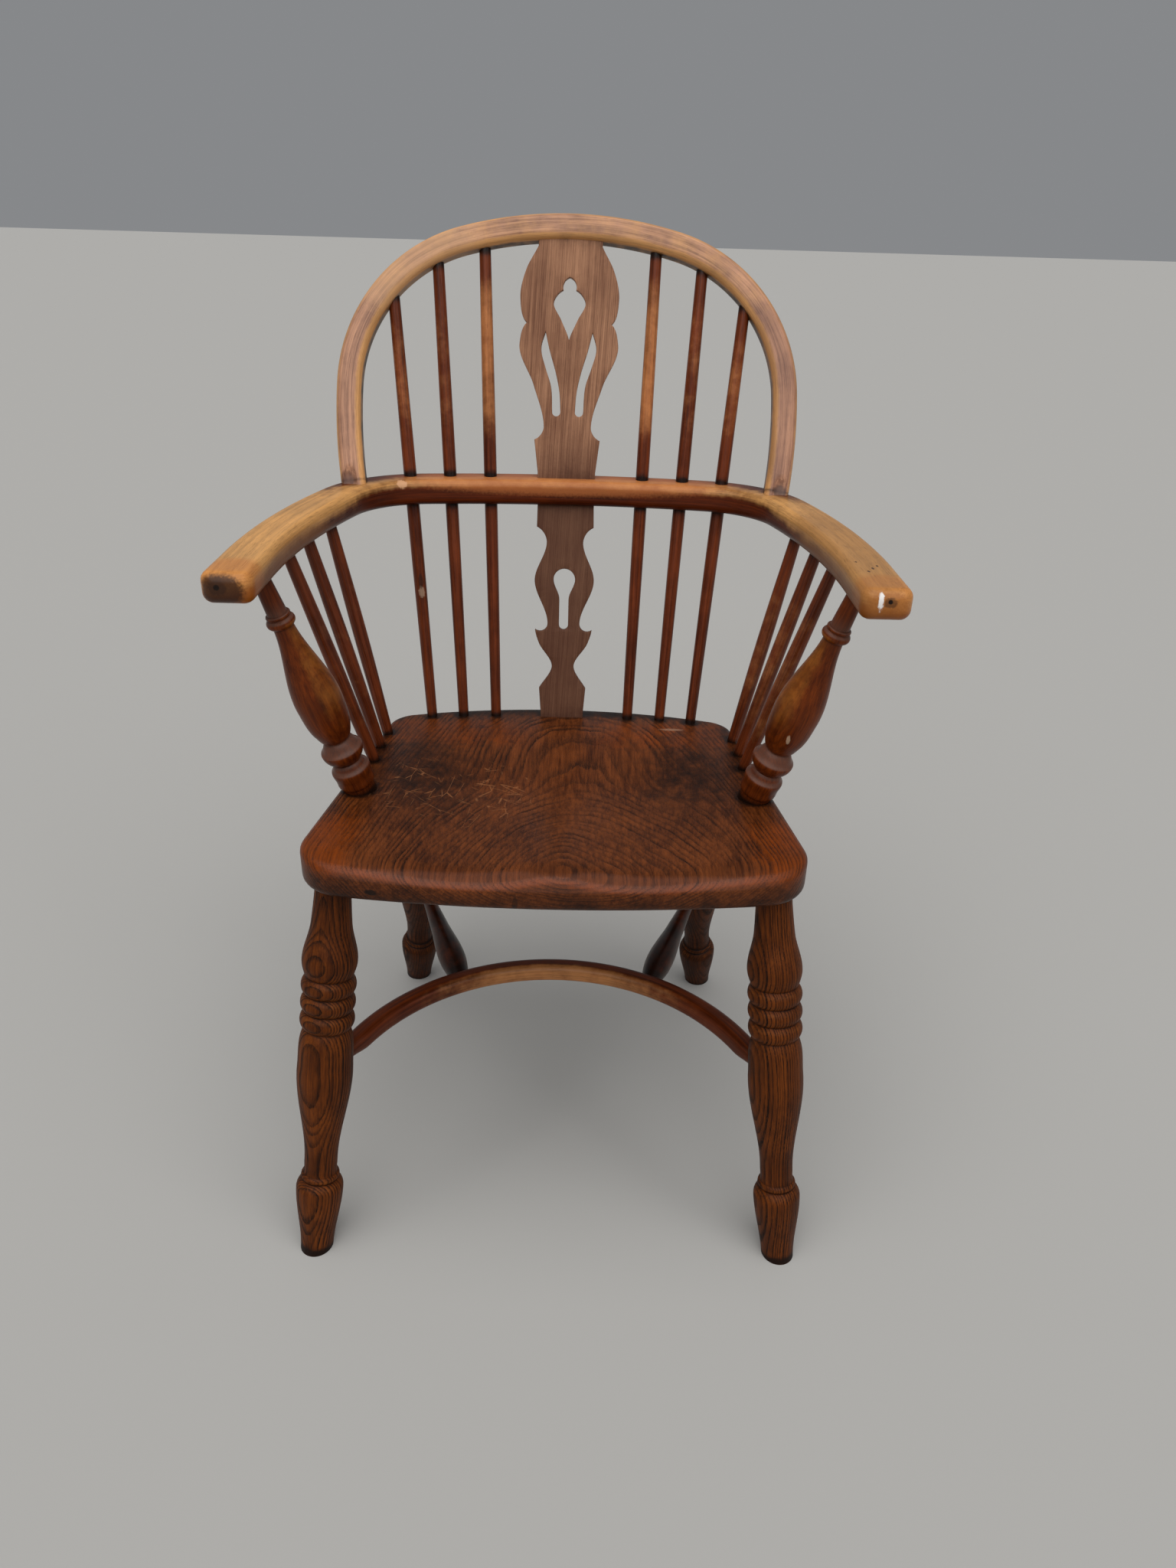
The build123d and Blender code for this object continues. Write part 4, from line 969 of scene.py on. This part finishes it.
hand_stations = [
    (step, blunt(step, HAND_CORNER, BOW_HALF_WIDE), blunt(step, HAND_EDGE, BOW_HALF_THICK)) for step in HAND_STEPS
]
bow_stations = [(-bow_half + step, wide, thick) for step, wide, thick in hand_stations]
bow_stations += even_stations(bow_half - 16.0, 5.0)
bow_stations += [(bow_half - step, wide, thick) for step, wide, thick in reversed(hand_stations)]
bow_bm = straight_bar(BOW_HALF_WIDE, BOW_HALF_THICK, BOW_EDGE, bow_stations)


def bow_look(co):
    """Arms worn more and more towards the hands, most on the top, with painted light: lighter on top, darker inside.
    The back rail is worn along its upper inner edge, with a painted sheen there and painted shade underneath.
    """
    arm = ramp((abs(co.z) - ARM_STARTS) / ARM_FADE)
    # upper paints the top lighter, as light from above falls, over the wear of hands.
    upper = ramp((co.y + 13.0) / 22.0)
    # inner paints the inner side darker: painted shade.
    inner = ramp((-co.x - 11.0) / 8.0) * ramp((7.0 - co.y) / 12.0)
    # The rail's upper inner edge: wear and a painted sheen.
    rail_wear_and_sheen = 0.55 * ramp((co.y - 1.0) / 9.0) * ramp((8.0 - co.x) / 16.0)
    wear_and_sheen = 0.95 * arm * (0.22 + 0.78 * upper) * (1 - 0.6 * inner) + rail_wear_and_sheen * (1 - arm)
    # Painted shade along the underside of the back rail.
    grime_and_shade = 0.45 * ramp((-co.y - 8.0) / 4.0) * (1 - arm)
    return (co.x + 16.0, co.y + 34.0, co.z + 2600.0), grime_and_shade, wear_and_sheen


mark_wood(bow_bm, bow_look)
bend(bow_bm, BOW_RUNS, lambda x, y, thick: Vector((x, BOW_BACK_Y + y, BOW_BOTTOM + BOW_HALF_THICK + thick)))
set_piece(bow_bm, "arm_bow_bent", "arm_bow", "arm_bow_ash")

# %% [markdown]
# The hoop is a squarer bar. It stands on the arm bow, and at the front of each foot the maker cut a small thumbnail
# chamfer, now dark with dirt. The points near the foot are pushed in to make it.

# %% Back hoop
HOOP_HALF_WIDE = 12.0
HOOP_DEPTH = 21.5
HOOP_CORNER = 7.0
HOOP_TENON = 14.0
CHAMFER_TALL, CHAMFER_DEEP = 14.0, 2.2
CHAMFER_X, CHAMFER_FRONT = 2.0, 5.0
TOP_REACH, TOP_FADE = 170.0, 120.0
foot_gap = next(s for s in range(500, 900) if HOOP_RISE + walk(HOOP_RUNS, s / 1.5)[1] < 0) / 1.5
hoop_half = foot_gap + HOOP_TENON
hoop_bm = straight_bar(HOOP_HALF_WIDE, HOOP_DEPTH / 2, HOOP_CORNER, even_stations(hoop_half, 3.5))


def hoop_look(co):
    """Pale along the inner and outer edges, and over the top with wear and a painted sheen.
    Dark at the thumbnail chamfers and at the bow, and with grime and painted shade on the inner face.
    """
    edge = ramp((-co.x - 4.5) / 5.0) if co.x < 0 else 0.8 * ramp((co.x - 7.5) / 3.5)
    # The top of the hoop is paler: wear and a painted sheen.
    edge = max(edge, 0.42 * (1 - ramp((abs(co.z) - TOP_REACH) / TOP_FADE)))
    above = foot_gap - abs(co.z)
    nail = 1.3 - (above / CHAMFER_TALL) ** 2 - ((co.x - CHAMFER_X) / 6.0) ** 2
    nail = ramp(nail) if co.y > CHAMFER_FRONT else 0.0
    # The inner face is darkened: grime and painted shade.
    inner_grime_and_shade = 0.62 * ramp((-co.x - 9.0) / 2.5) * ramp((6.5 - co.y) / 4.0)
    grime_and_shade = max(0.25 * nail, 0.5 * exp(-((above / 2.2) ** 2)), inner_grime_and_shade)
    return (co.x - 30.0, co.y + 42.0, co.z + 6100.0), grime_and_shade, 0.85 * edge


for vert in hoop_bm.verts:
    above = foot_gap - abs(vert.co.z)
    if vert.co.y > CHAMFER_FRONT:
        nail = 1 - (above / CHAMFER_TALL) ** 2 - ((vert.co.x - CHAMFER_X) / 7.0) ** 2
        vert.co.y -= CHAMFER_DEEP * ramp(1.5 * nail)
mark_wood(hoop_bm, hoop_look)
bend(hoop_bm, HOOP_RUNS, lambda x, y, thick: hoop_point(x, HOOP_RISE + y, thick))
set_piece(hoop_bm, "back_hoop_bent", "back_hoop", "hoop_ash")

# %% [markdown]
# The crinoline is the bent stretcher between the front legs. Its arc ends in straight tails that become round
# tenons, so near its ends the rounded square is drawn towards a circle. The spurs are small turnings that tie it
# to the back legs.

# %% Crinoline stretcher and spurs
CRINOLINE_Z = 182.0
CRINOLINE_BACK_Y = SEAT_FRONT_Y + 173.0
CRINOLINE_HALF = (10.0, 9.5)
CRINOLINE_CORNER = 7.0
CRINOLINE_TURN = radians(62.0)
CRINOLINE_TENON = 7.5
CRINOLINE_TAPER = 26.0
SHORT_OF_AXIS = 7.0
SPUR_SPREAD = 95.0
SPUR_GRIME = 0.56


def leg_place(row, hand, height):
    """Where a leg's axis passes a height."""
    (foot_x, foot_y), (head_x, head_y) = FEET[row]
    share = height / (seat_top(head_y) - SEAT_THICKNESS)
    return Vector((hand * (foot_x + share * (head_x - foot_x)), foot_y + share * (head_y - foot_y), height))


front_leg = leg_place("front", 1, CRINOLINE_Z)
set_back = CRINOLINE_BACK_Y - front_leg.y
sine, cosine = sin(CRINOLINE_TURN), cos(CRINOLINE_TURN)
crinoline_radius = (front_leg.x * sine - set_back * cosine) / (1 - cosine)
arc_length = crinoline_radius * CRINOLINE_TURN
arc_end = Vector((crinoline_radius * sine, CRINOLINE_BACK_Y - crinoline_radius * (1 - cosine), CRINOLINE_Z))
tail = (front_leg - arc_end).length - SHORT_OF_AXIS
crinoline_half = arc_length + tail
crinoline_bm = straight_bar(*CRINOLINE_HALF, CRINOLINE_CORNER, even_stations(crinoline_half, 4.0))


def crinoline_look(co):
    """Rubbed along the front of the middle, where heels rest, dark at the legs and darker along the underside."""
    middle = 1 - ramp((abs(co.z) - 30.0) / 150.0)
    front = ramp((-co.x + 1.0) / 9.0)
    grime_and_shade = exp(-(((crinoline_half - abs(co.z) - 10.0) / 12.0) ** 2)) + 0.3 * ramp((-co.y - 5.0) / 4.0)
    return (co.x + 22.0, co.y - 30.0, co.z + 7400.0), min(1.0, grime_and_shade), 0.62 * middle * front + 0.12 * front


mark_wood(crinoline_bm, crinoline_look)
for vert in crinoline_bm.verts:
    share = ramp((abs(vert.co.z) - arc_length) / CRINOLINE_TAPER)
    flat = Vector((vert.co.x, vert.co.y, 0.0))
    if share and flat.length > 1e-6:
        vert.co.x, vert.co.y = flat.lerp(flat.normalized() * CRINOLINE_TENON, share).xy
crinoline_runs = [(arc_length, crinoline_radius), (tail, None)]
bend(crinoline_bm, crinoline_runs, lambda x, y, thick: Vector((x, CRINOLINE_BACK_Y + y, CRINOLINE_Z + thick)))
set_piece(crinoline_bm, "crinoline_bent", "crinoline_stretcher", "stretcher_ash")

for name, hand in SIDES.items():
    spur_y = CRINOLINE_BACK_Y - crinoline_radius + sqrt(crinoline_radius**2 - SPUR_SPREAD**2)
    start = Vector((hand * SPUR_SPREAD, spur_y, CRINOLINE_Z))
    end = beyond(start, leg_place("rear", hand, CRINOLINE_Z), -SHORT_OF_AXIS)
    length = (end - start).length
    body = [(5.0, 8.5), (30.0, 13.0), (105.0, 9.6), (length - 32.0, 7.0)]
    outline = smooth_run(body, (1, 0.2), (1, 0)) + [(length, 7.0)]
    log = (34.0, 20.0 * hand, 8200.0 + 500.0 * hand)
    joints = [(8.0, 5.0), (length - 16.0, 8.0)]
    bm = turn(outline, start, end, log, joints, steps=32, all_over_grime_and_shade=SPUR_GRIME)
    set_piece(bm, name + "_spur_turned", name + "_spur", "stretcher_ash")

# %% [markdown]
# The splats are sawn from thin board with a fret saw. Half of each outline and of each hole on the middle line is
# drawn here, and mirrored in the next cell.

# %% Outlines of the splats
BACK_LEAN = radians(13.2)
TONGUE = 11.0
splat_bow_y = BOW_BACK_Y - 1.0
seat_slope = SEAT_FALL / SEAT_DEPTH
splat_seat_z = seat_top(splat_bow_y - tan(BACK_LEAN) * BOW_TOP) / (1 + seat_slope * tan(BACK_LEAN))
splat_seat_y = splat_bow_y - tan(BACK_LEAN) * (BOW_TOP - splat_seat_z)
lower_length = (BOW_BOTTOM - splat_seat_z) / cos(BACK_LEAN)
upper_length = (HOOP_RISE - HOOP_HALF_WIDE) * cos(HOOP_LEAN) / cos(BACK_LEAN)

lower_outline = [(0.0, -TONGUE), (22.7, -TONGUE), (22.7, 5.0)]
lower_outline += smooth_run([(24.7, 30.5), (11.6, 54.0), (26.0, 79.5), (29.8, 92.6)], (-0.6, 1), (0.1, 1))
lower_outline += arc_run((29.8, 92.6), (23.5, 91.0), (16.8, 99.0))[1:]
lower_outline += smooth_run([(16.8, 99.0), (30.8, 144.7), (18.8, 183.0)], (0, 1), (0, 1))[1:]
lower_outline += arc_run((18.8, 183.0), (21.3, 191.0), (29.2, 198.0))[1:]
lower_outline += [(28.8, lower_length - 5.0), (28.8, lower_length + TONGUE), (0.0, lower_length + TONGUE)]
keyhole = [(4.8 * sin(radians(a)), 97.8 - 4.8 * cos(radians(a))) for a in range(0, 91, 15)]
keyhole += smooth_run([(4.8, 124.0), (11.2, 144.8)], (0, 1), (0, 1))
keyhole += [(11.2 * cos(radians(a)), 144.8 + 11.2 * sin(radians(a))) for a in range(10, 91, 10)]

upper_outline = [(0.0, -TONGUE), (29.2, -TONGUE), (29.2, 5.0)]
upper_outline += arc_run((33.0, 36.5), (26.8, 41.0), (23.7, 48.0))
upper_outline += smooth_run([(23.7, 48.0), (34.3, 88.0), (48.7, 127.0), (41.7, 146.0)], (0, 1), (-1, 0.8))[1:]
crown = [(41.7, 146.0), (48.3, 168.0), (42.8, 194.0), (31.0, upper_length - 5.0)]
upper_outline += smooth_run(crown, (1, 0.8), (-0.5, 1))[1:]
upper_outline += [(31.0, upper_length + TONGUE), (0.0, upper_length + TONGUE)]
teardrop = smooth_run([(0.0, 131.0), (8.0, 149.0), (15.5, 165.5), (6.2, 176.5)], (0.3, 1), (-1, 0.4), 1.5)
teardrop += arc_run((6.2, 176.5), (6.2, 181.8), (0.0, 188.0))[1:]
slit = smooth_run([(15.5, 63.2), (17.4, 89.0), (22.5, 104.0), (27.2, 124.0), (23.2, 138.0)])
slit += smooth_run([(23.2, 138.0), (19.2, 122.0), (12.4, 99.7), (8.6, 82.0), (7.3, 63.2)])[1:]
slit += arc_run((7.3, 63.2), (11.4, 59.1), (15.5, 63.2))[1:-1]
print("splat lengths between their joints:", round(lower_length, 1), round(upper_length, 1))

# %% [markdown]
# A fill between all the loops makes the face of a splat. It is then given its thickness, its arrises are taken off
# with a small bevel, and a set of cuts across it gives the grime at its ends enough points to fade over.

# %% Splats
SPLAT_THICK = 8.0
ARRIS = 0.7
CUT_GAP = 6.0
LOWER_DARKENING = 0.08


def mirrored(half):
    """A closed loop from the right-hand half of an outline, which starts and ends on the middle line."""
    return half + [(-x, y) for x, y in reversed(half[1:-1])]


def fret(loops, thick):
    """A sawn board: its first loop is the outline, the others are holes."""
    bm = bmesh.new()
    edges = []
    for loop in loops:
        verts = [bm.verts.new((x, y, -thick / 2)) for x, y in loop]
        edges += [bm.edges.new((a, b)) for a, b in zip(verts, verts[1:] + verts[:1])]
    bmesh.ops.triangle_fill(bm, edges=edges, use_beauty=True)
    grown = bmesh.ops.extrude_face_region(bm, geom=bm.faces[:])["geom"]
    bmesh.ops.translate(bm, vec=(0, 0, thick), verts=only(grown, BMVert))
    bmesh.ops.recalc_face_normals(bm, faces=bm.faces)
    arrises = [edge for edge in bm.edges if edge.is_manifold and abs(edge.calc_face_angle() - pi / 2) < 0.1]
    arrises = [edge for edge in arrises if abs(edge.verts[0].co.z - edge.verts[1].co.z) < 0.1]
    round_off(bm, arrises, ARRIS, 2)
    return bm


def crosscut(bm, normal, levels):
    """Cut a mesh across at each level, without taking anything away."""
    for level in levels:
        bmesh.ops.bisect_plane(bm, geom=everything(bm), plane_co=normal * level, plane_no=normal, dist=0.01)


def splat_look(length, dull):
    """Grime towards both joints of a splat, and an even darkening all over it by dull."""
    def look(co):
        ends = max(0.34 * exp(-((co.y / 9.0) ** 2)), 0.26 * exp(-(((co.y - length) / 7.0) ** 2)))
        return (co.x + 130.0 - 0.05 * co.y, co.z + 24.0, co.y + 9000.0 + length), ends + dull, 0.0
    return look


lower_loops = [mirrored(lower_outline), mirrored(keyhole)]
upper_loops = [mirrored(upper_outline), mirrored(teardrop), slit, [(-x, y) for x, y in slit]]
up = Vector((0, sin(BACK_LEAN), cos(BACK_LEAN)))
front = Vector((0, -cos(BACK_LEAN), sin(BACK_LEAN)))
for node, y, z, length, loops, dull in (
    ("lower_splat", splat_seat_y, splat_seat_z, lower_length, lower_loops, LOWER_DARKENING),
    ("upper_splat", splat_bow_y, BOW_TOP, upper_length, upper_loops, 0.0),
):
    splat_bm = fret(loops, SPLAT_THICK)
    cuts = 1 + int((length + 2 * CUT_GAP) / CUT_GAP)
    crosscut(splat_bm, Vector((0, 1, 0)), [-CUT_GAP + CUT_GAP * step for step in range(cuts)])
    crosscut(splat_bm, Vector((1, 0, 0)), range(-42, 43, 14))
    mark_wood(splat_bm, splat_look(length, dull))
    stand(splat_bm, (0, y, z), Vector((1, 0, 0)), up, front)
    set_piece(splat_bm, node + "_fretted", node, "splat_wood")

# %% [markdown]
# The seat is one elm plank. Its outline is four corners joined by two shallow arcs, with the corners rounded by a
# vertex bevel. Rings of edges are then drawn in towards the middle, so that there are points enough to hollow it.

# %% Seat plan
FRONT_HALF, BACK_HALF = 221.0, 178.0
FRONT_BOW, BACK_BOW = 19.0, 29.0
FRONT_CORNER, BACK_CORNER = 40.7, 18.6
EDGE_GAP = 4.5
front_y, back_y = SEAT_FRONT_Y + FRONT_BOW, SEAT_BACK_Y - BACK_BOW
seat_bm = bmesh.new()
front_arc = arc_run((-FRONT_HALF, front_y), (0.0, SEAT_FRONT_Y), (FRONT_HALF, front_y), 60)
back_arc = arc_run((BACK_HALF, back_y), (0.0, SEAT_BACK_Y), (-BACK_HALF, back_y), 60)
plan = [front_arc[0], *front_arc[8:-8:2], front_arc[-1], back_arc[0], *back_arc[6:-6:2], back_arc[-1]]
plan_verts = [seat_bm.verts.new((x, y, 0.0)) for x, y in plan]
seat_bm.faces.new(plan_verts)
corners = [v for v in plan_verts if min(abs(abs(v.co.x) - half) for half in (FRONT_HALF, BACK_HALF)) < 0.5]
for reach, at_front in ((FRONT_CORNER, True), (BACK_CORNER, False)):
    chosen = [v for v in corners if v.is_valid and (v.co.y < 0) == at_front]
    round_off(seat_bm, chosen, reach, 12, "VERTICES")
bmesh.ops.delete(seat_bm, geom=seat_bm.faces[:], context="FACES_ONLY")
for edge in seat_bm.edges[:]:
    cuts = int(edge.calc_length() / EDGE_GAP)
    if cuts:
        bmesh.ops.subdivide_edges(seat_bm, edges=[edge], cuts=cuts)
rim = seat_bm.edges[:]
to_middle = Matrix.Translation((0.0, -(SEAT_FRONT_Y + SEAT_BACK_Y) / 2, 0.0))
inward = [0.93 - 0.03 * step for step in range(31)]
edges, share = rim, 1.0
for next_share in inward:
    grown = bmesh.ops.extrude_edge_only(seat_bm, edges=edges)["geom"]
    edges = only(grown, BMEdge)
    factor = next_share / share
    bmesh.ops.scale(seat_bm, vec=(factor, factor, 1.0), space=to_middle, verts=only(grown, BMVert))
    share = next_share
bmesh.ops.contextual_create(seat_bm, geom=edges)
print("seat plan has", len(rim), "edges round it and", len(inward), "rings")

# %% [markdown]
# Now the hollow: two broad dips with a low ridge between them at the front. The formula is the CAD model's, with a
# ridge that is a little higher and narrower, as in the photo. The front edge is worn down by a few millimetres, and
# the rim is rounded with a bevel.

# %% Seat hollow and rim
DISH_DEPTH = 13.0
DISH_FLOOR = 0.35
DISH_BORDER = 30.0
BACK_BORDER, BACK_SLOPE = 52.0, 130.0
LIP_SHARE, LIP_LENGTH = 0.62, 176.0
RIDGE_HEIGHT, RIDGE_HALF, RIDGE_LENGTH = 9.0, 36.0, 170.0
FRONT_FALL, FRONT_FALL_DEEP = 5.0, 28.0
RIM_ROUND, UNDER_ROUND = 7.0, 8.0


def seat_half(y):
    """Half the width of the seat, without its rounded corners."""
    return FRONT_HALF + (BACK_HALF - FRONT_HALF) * (y - SEAT_FRONT_Y) / SEAT_DEPTH


def dish(x, y):
    """Depth of the hollow at a point of the plan."""
    from_front = y - SEAT_FRONT_Y
    half = seat_half(y)
    floor_half = DISH_FLOOR * half
    across = 1 - ramp((abs(x) - floor_half) / (half - DISH_BORDER - floor_half))
    back = ramp((SEAT_DEPTH - BACK_BORDER - from_front) / BACK_SLOPE)
    front = LIP_SHARE + (1 - LIP_SHARE) * ramp(from_front / LIP_LENGTH)
    ridge = exp(-((x / RIDGE_HALF) ** 2)) * (1 - ramp(from_front / RIDGE_LENGTH))
    return DISH_DEPTH * across * back * front - RIDGE_HEIGHT * ridge


for vert in seat_bm.verts:
    x, y = vert.co.xy
    from_edge = y - SEAT_FRONT_Y - FRONT_BOW * (x / FRONT_HALF) ** 2
    worn_down = FRONT_FALL * max(0.0, 1 - from_edge / FRONT_FALL_DEEP) ** 2
    vert.co.z = seat_top(y) - dish(x, y) - worn_down
under_rim = only(bmesh.ops.extrude_edge_only(seat_bm, edges=rim)["geom"], BMEdge)
for vert in {vert for edge in under_rim for vert in edge.verts}:
    vert.co.z = seat_top(vert.co.y) - SEAT_THICKNESS
bmesh.ops.contextual_create(seat_bm, geom=under_rim)
bmesh.ops.recalc_face_normals(seat_bm, faces=seat_bm.faces)
round_off(seat_bm, rim, RIM_ROUND, 5)
round_off(seat_bm, [edge for edge in under_rim if edge.is_valid], UNDER_ROUND, 5)
deepest = max(dish(x, y) for x in range(-200, 201, 10) for y in range(-200, 140, 10))
print("deepest hollow:", round(deepest, 1), "mm")

# %% [markdown]
# The pith of this plank lay above the seat and a little in front of it, so the rings close into ellipses near the
# front ridge and open to the back. Corners and the back of the seat are rubbed to orange; a dark border follows the
# line of the spindles, where a cloth never reached. The front rim has a painted highlight, carried as wear, and the
# front face below it painted shade, carried as grime.

# %% Seat wood
PITH_OVER = 150.0
PITH_SLOPE = 0.18
PITH_X = 22.0
SPINDLE_HOLE, POST_HOLE = 6.0, 15.0
HOLE_GRIME = 6.0
stuck = [(x, SEAT_BACK_Y + back, SPINDLE_HOLE) for x, back, *_ in (*LONG.values(), *SHORT.values())]
stuck = [(hand * x, y, r) for x, y, r in [*stuck, (POST_SEAT_X, POST_SEAT_Y, POST_HOLE)] for hand in (-1, 1)]


def seat_look(co):
    """Ring distance from the pith, grime round what is stuck in the seat, and rubbed corners.
    At the front, a painted highlight along the rim and painted shade on the face below it.
    """
    pith_z = SEAT_FRONT_TOP + PITH_OVER + PITH_SLOPE * (co.y - SEAT_FRONT_Y)
    gap = min(max(0.0, (Vector((x, y)) - co.xy).length - r) for x, y, r in stuck)
    holes = exp(-((gap / HOLE_GRIME) ** 2))
    border = ramp((co.y - 106.0) / 22.0)
    side = ramp((abs(co.x) - seat_half(co.y) + 30.0) / 20.0) * ramp((co.y + 40.0) / 40.0)
    dips = 0.58 * exp(-(((abs(co.x) - 130.0) / 66.0) ** 2) - ((co.y + 12.0) / 95.0) ** 2)
    under = seat_top(co.y) - dish(co.x, co.y) - co.z
    # Painted shade on the front face below the rim.
    face = 0.42 * ramp((under - 9.0) / 6.0)
    # A painted highlight along the front rim, carried as wear.
    rim = 0.62 * exp(-(((under - 6.5) / 3.4) ** 2)) * ramp((-co.y - 150.0) / 30.0)
    corner = ramp((abs(co.x) - 140.0) / 50.0) * ramp((-co.y - 70.0) / 60.0) * ramp((co.z - 390.0) / 10.0)
    back = 0.45 * ramp((co.y - 10.0) / 60.0) * (1 - ramp((co.y - 98.0) / 20.0))
    back *= 1 - 0.7 * exp(-((co.x / 40.0) ** 2))
    grime_and_shade = max(0.75 * holes, 0.7 * border, 0.55 * side, dips, face)
    return (co.x - PITH_X, pith_z - co.z, co.y), min(1.0, grime_and_shade), max(0.62 * corner, back, rim)


mark_wood(seat_bm, seat_look)
set_piece(seat_bm, "seat_dished", "seat", "seat_elm")
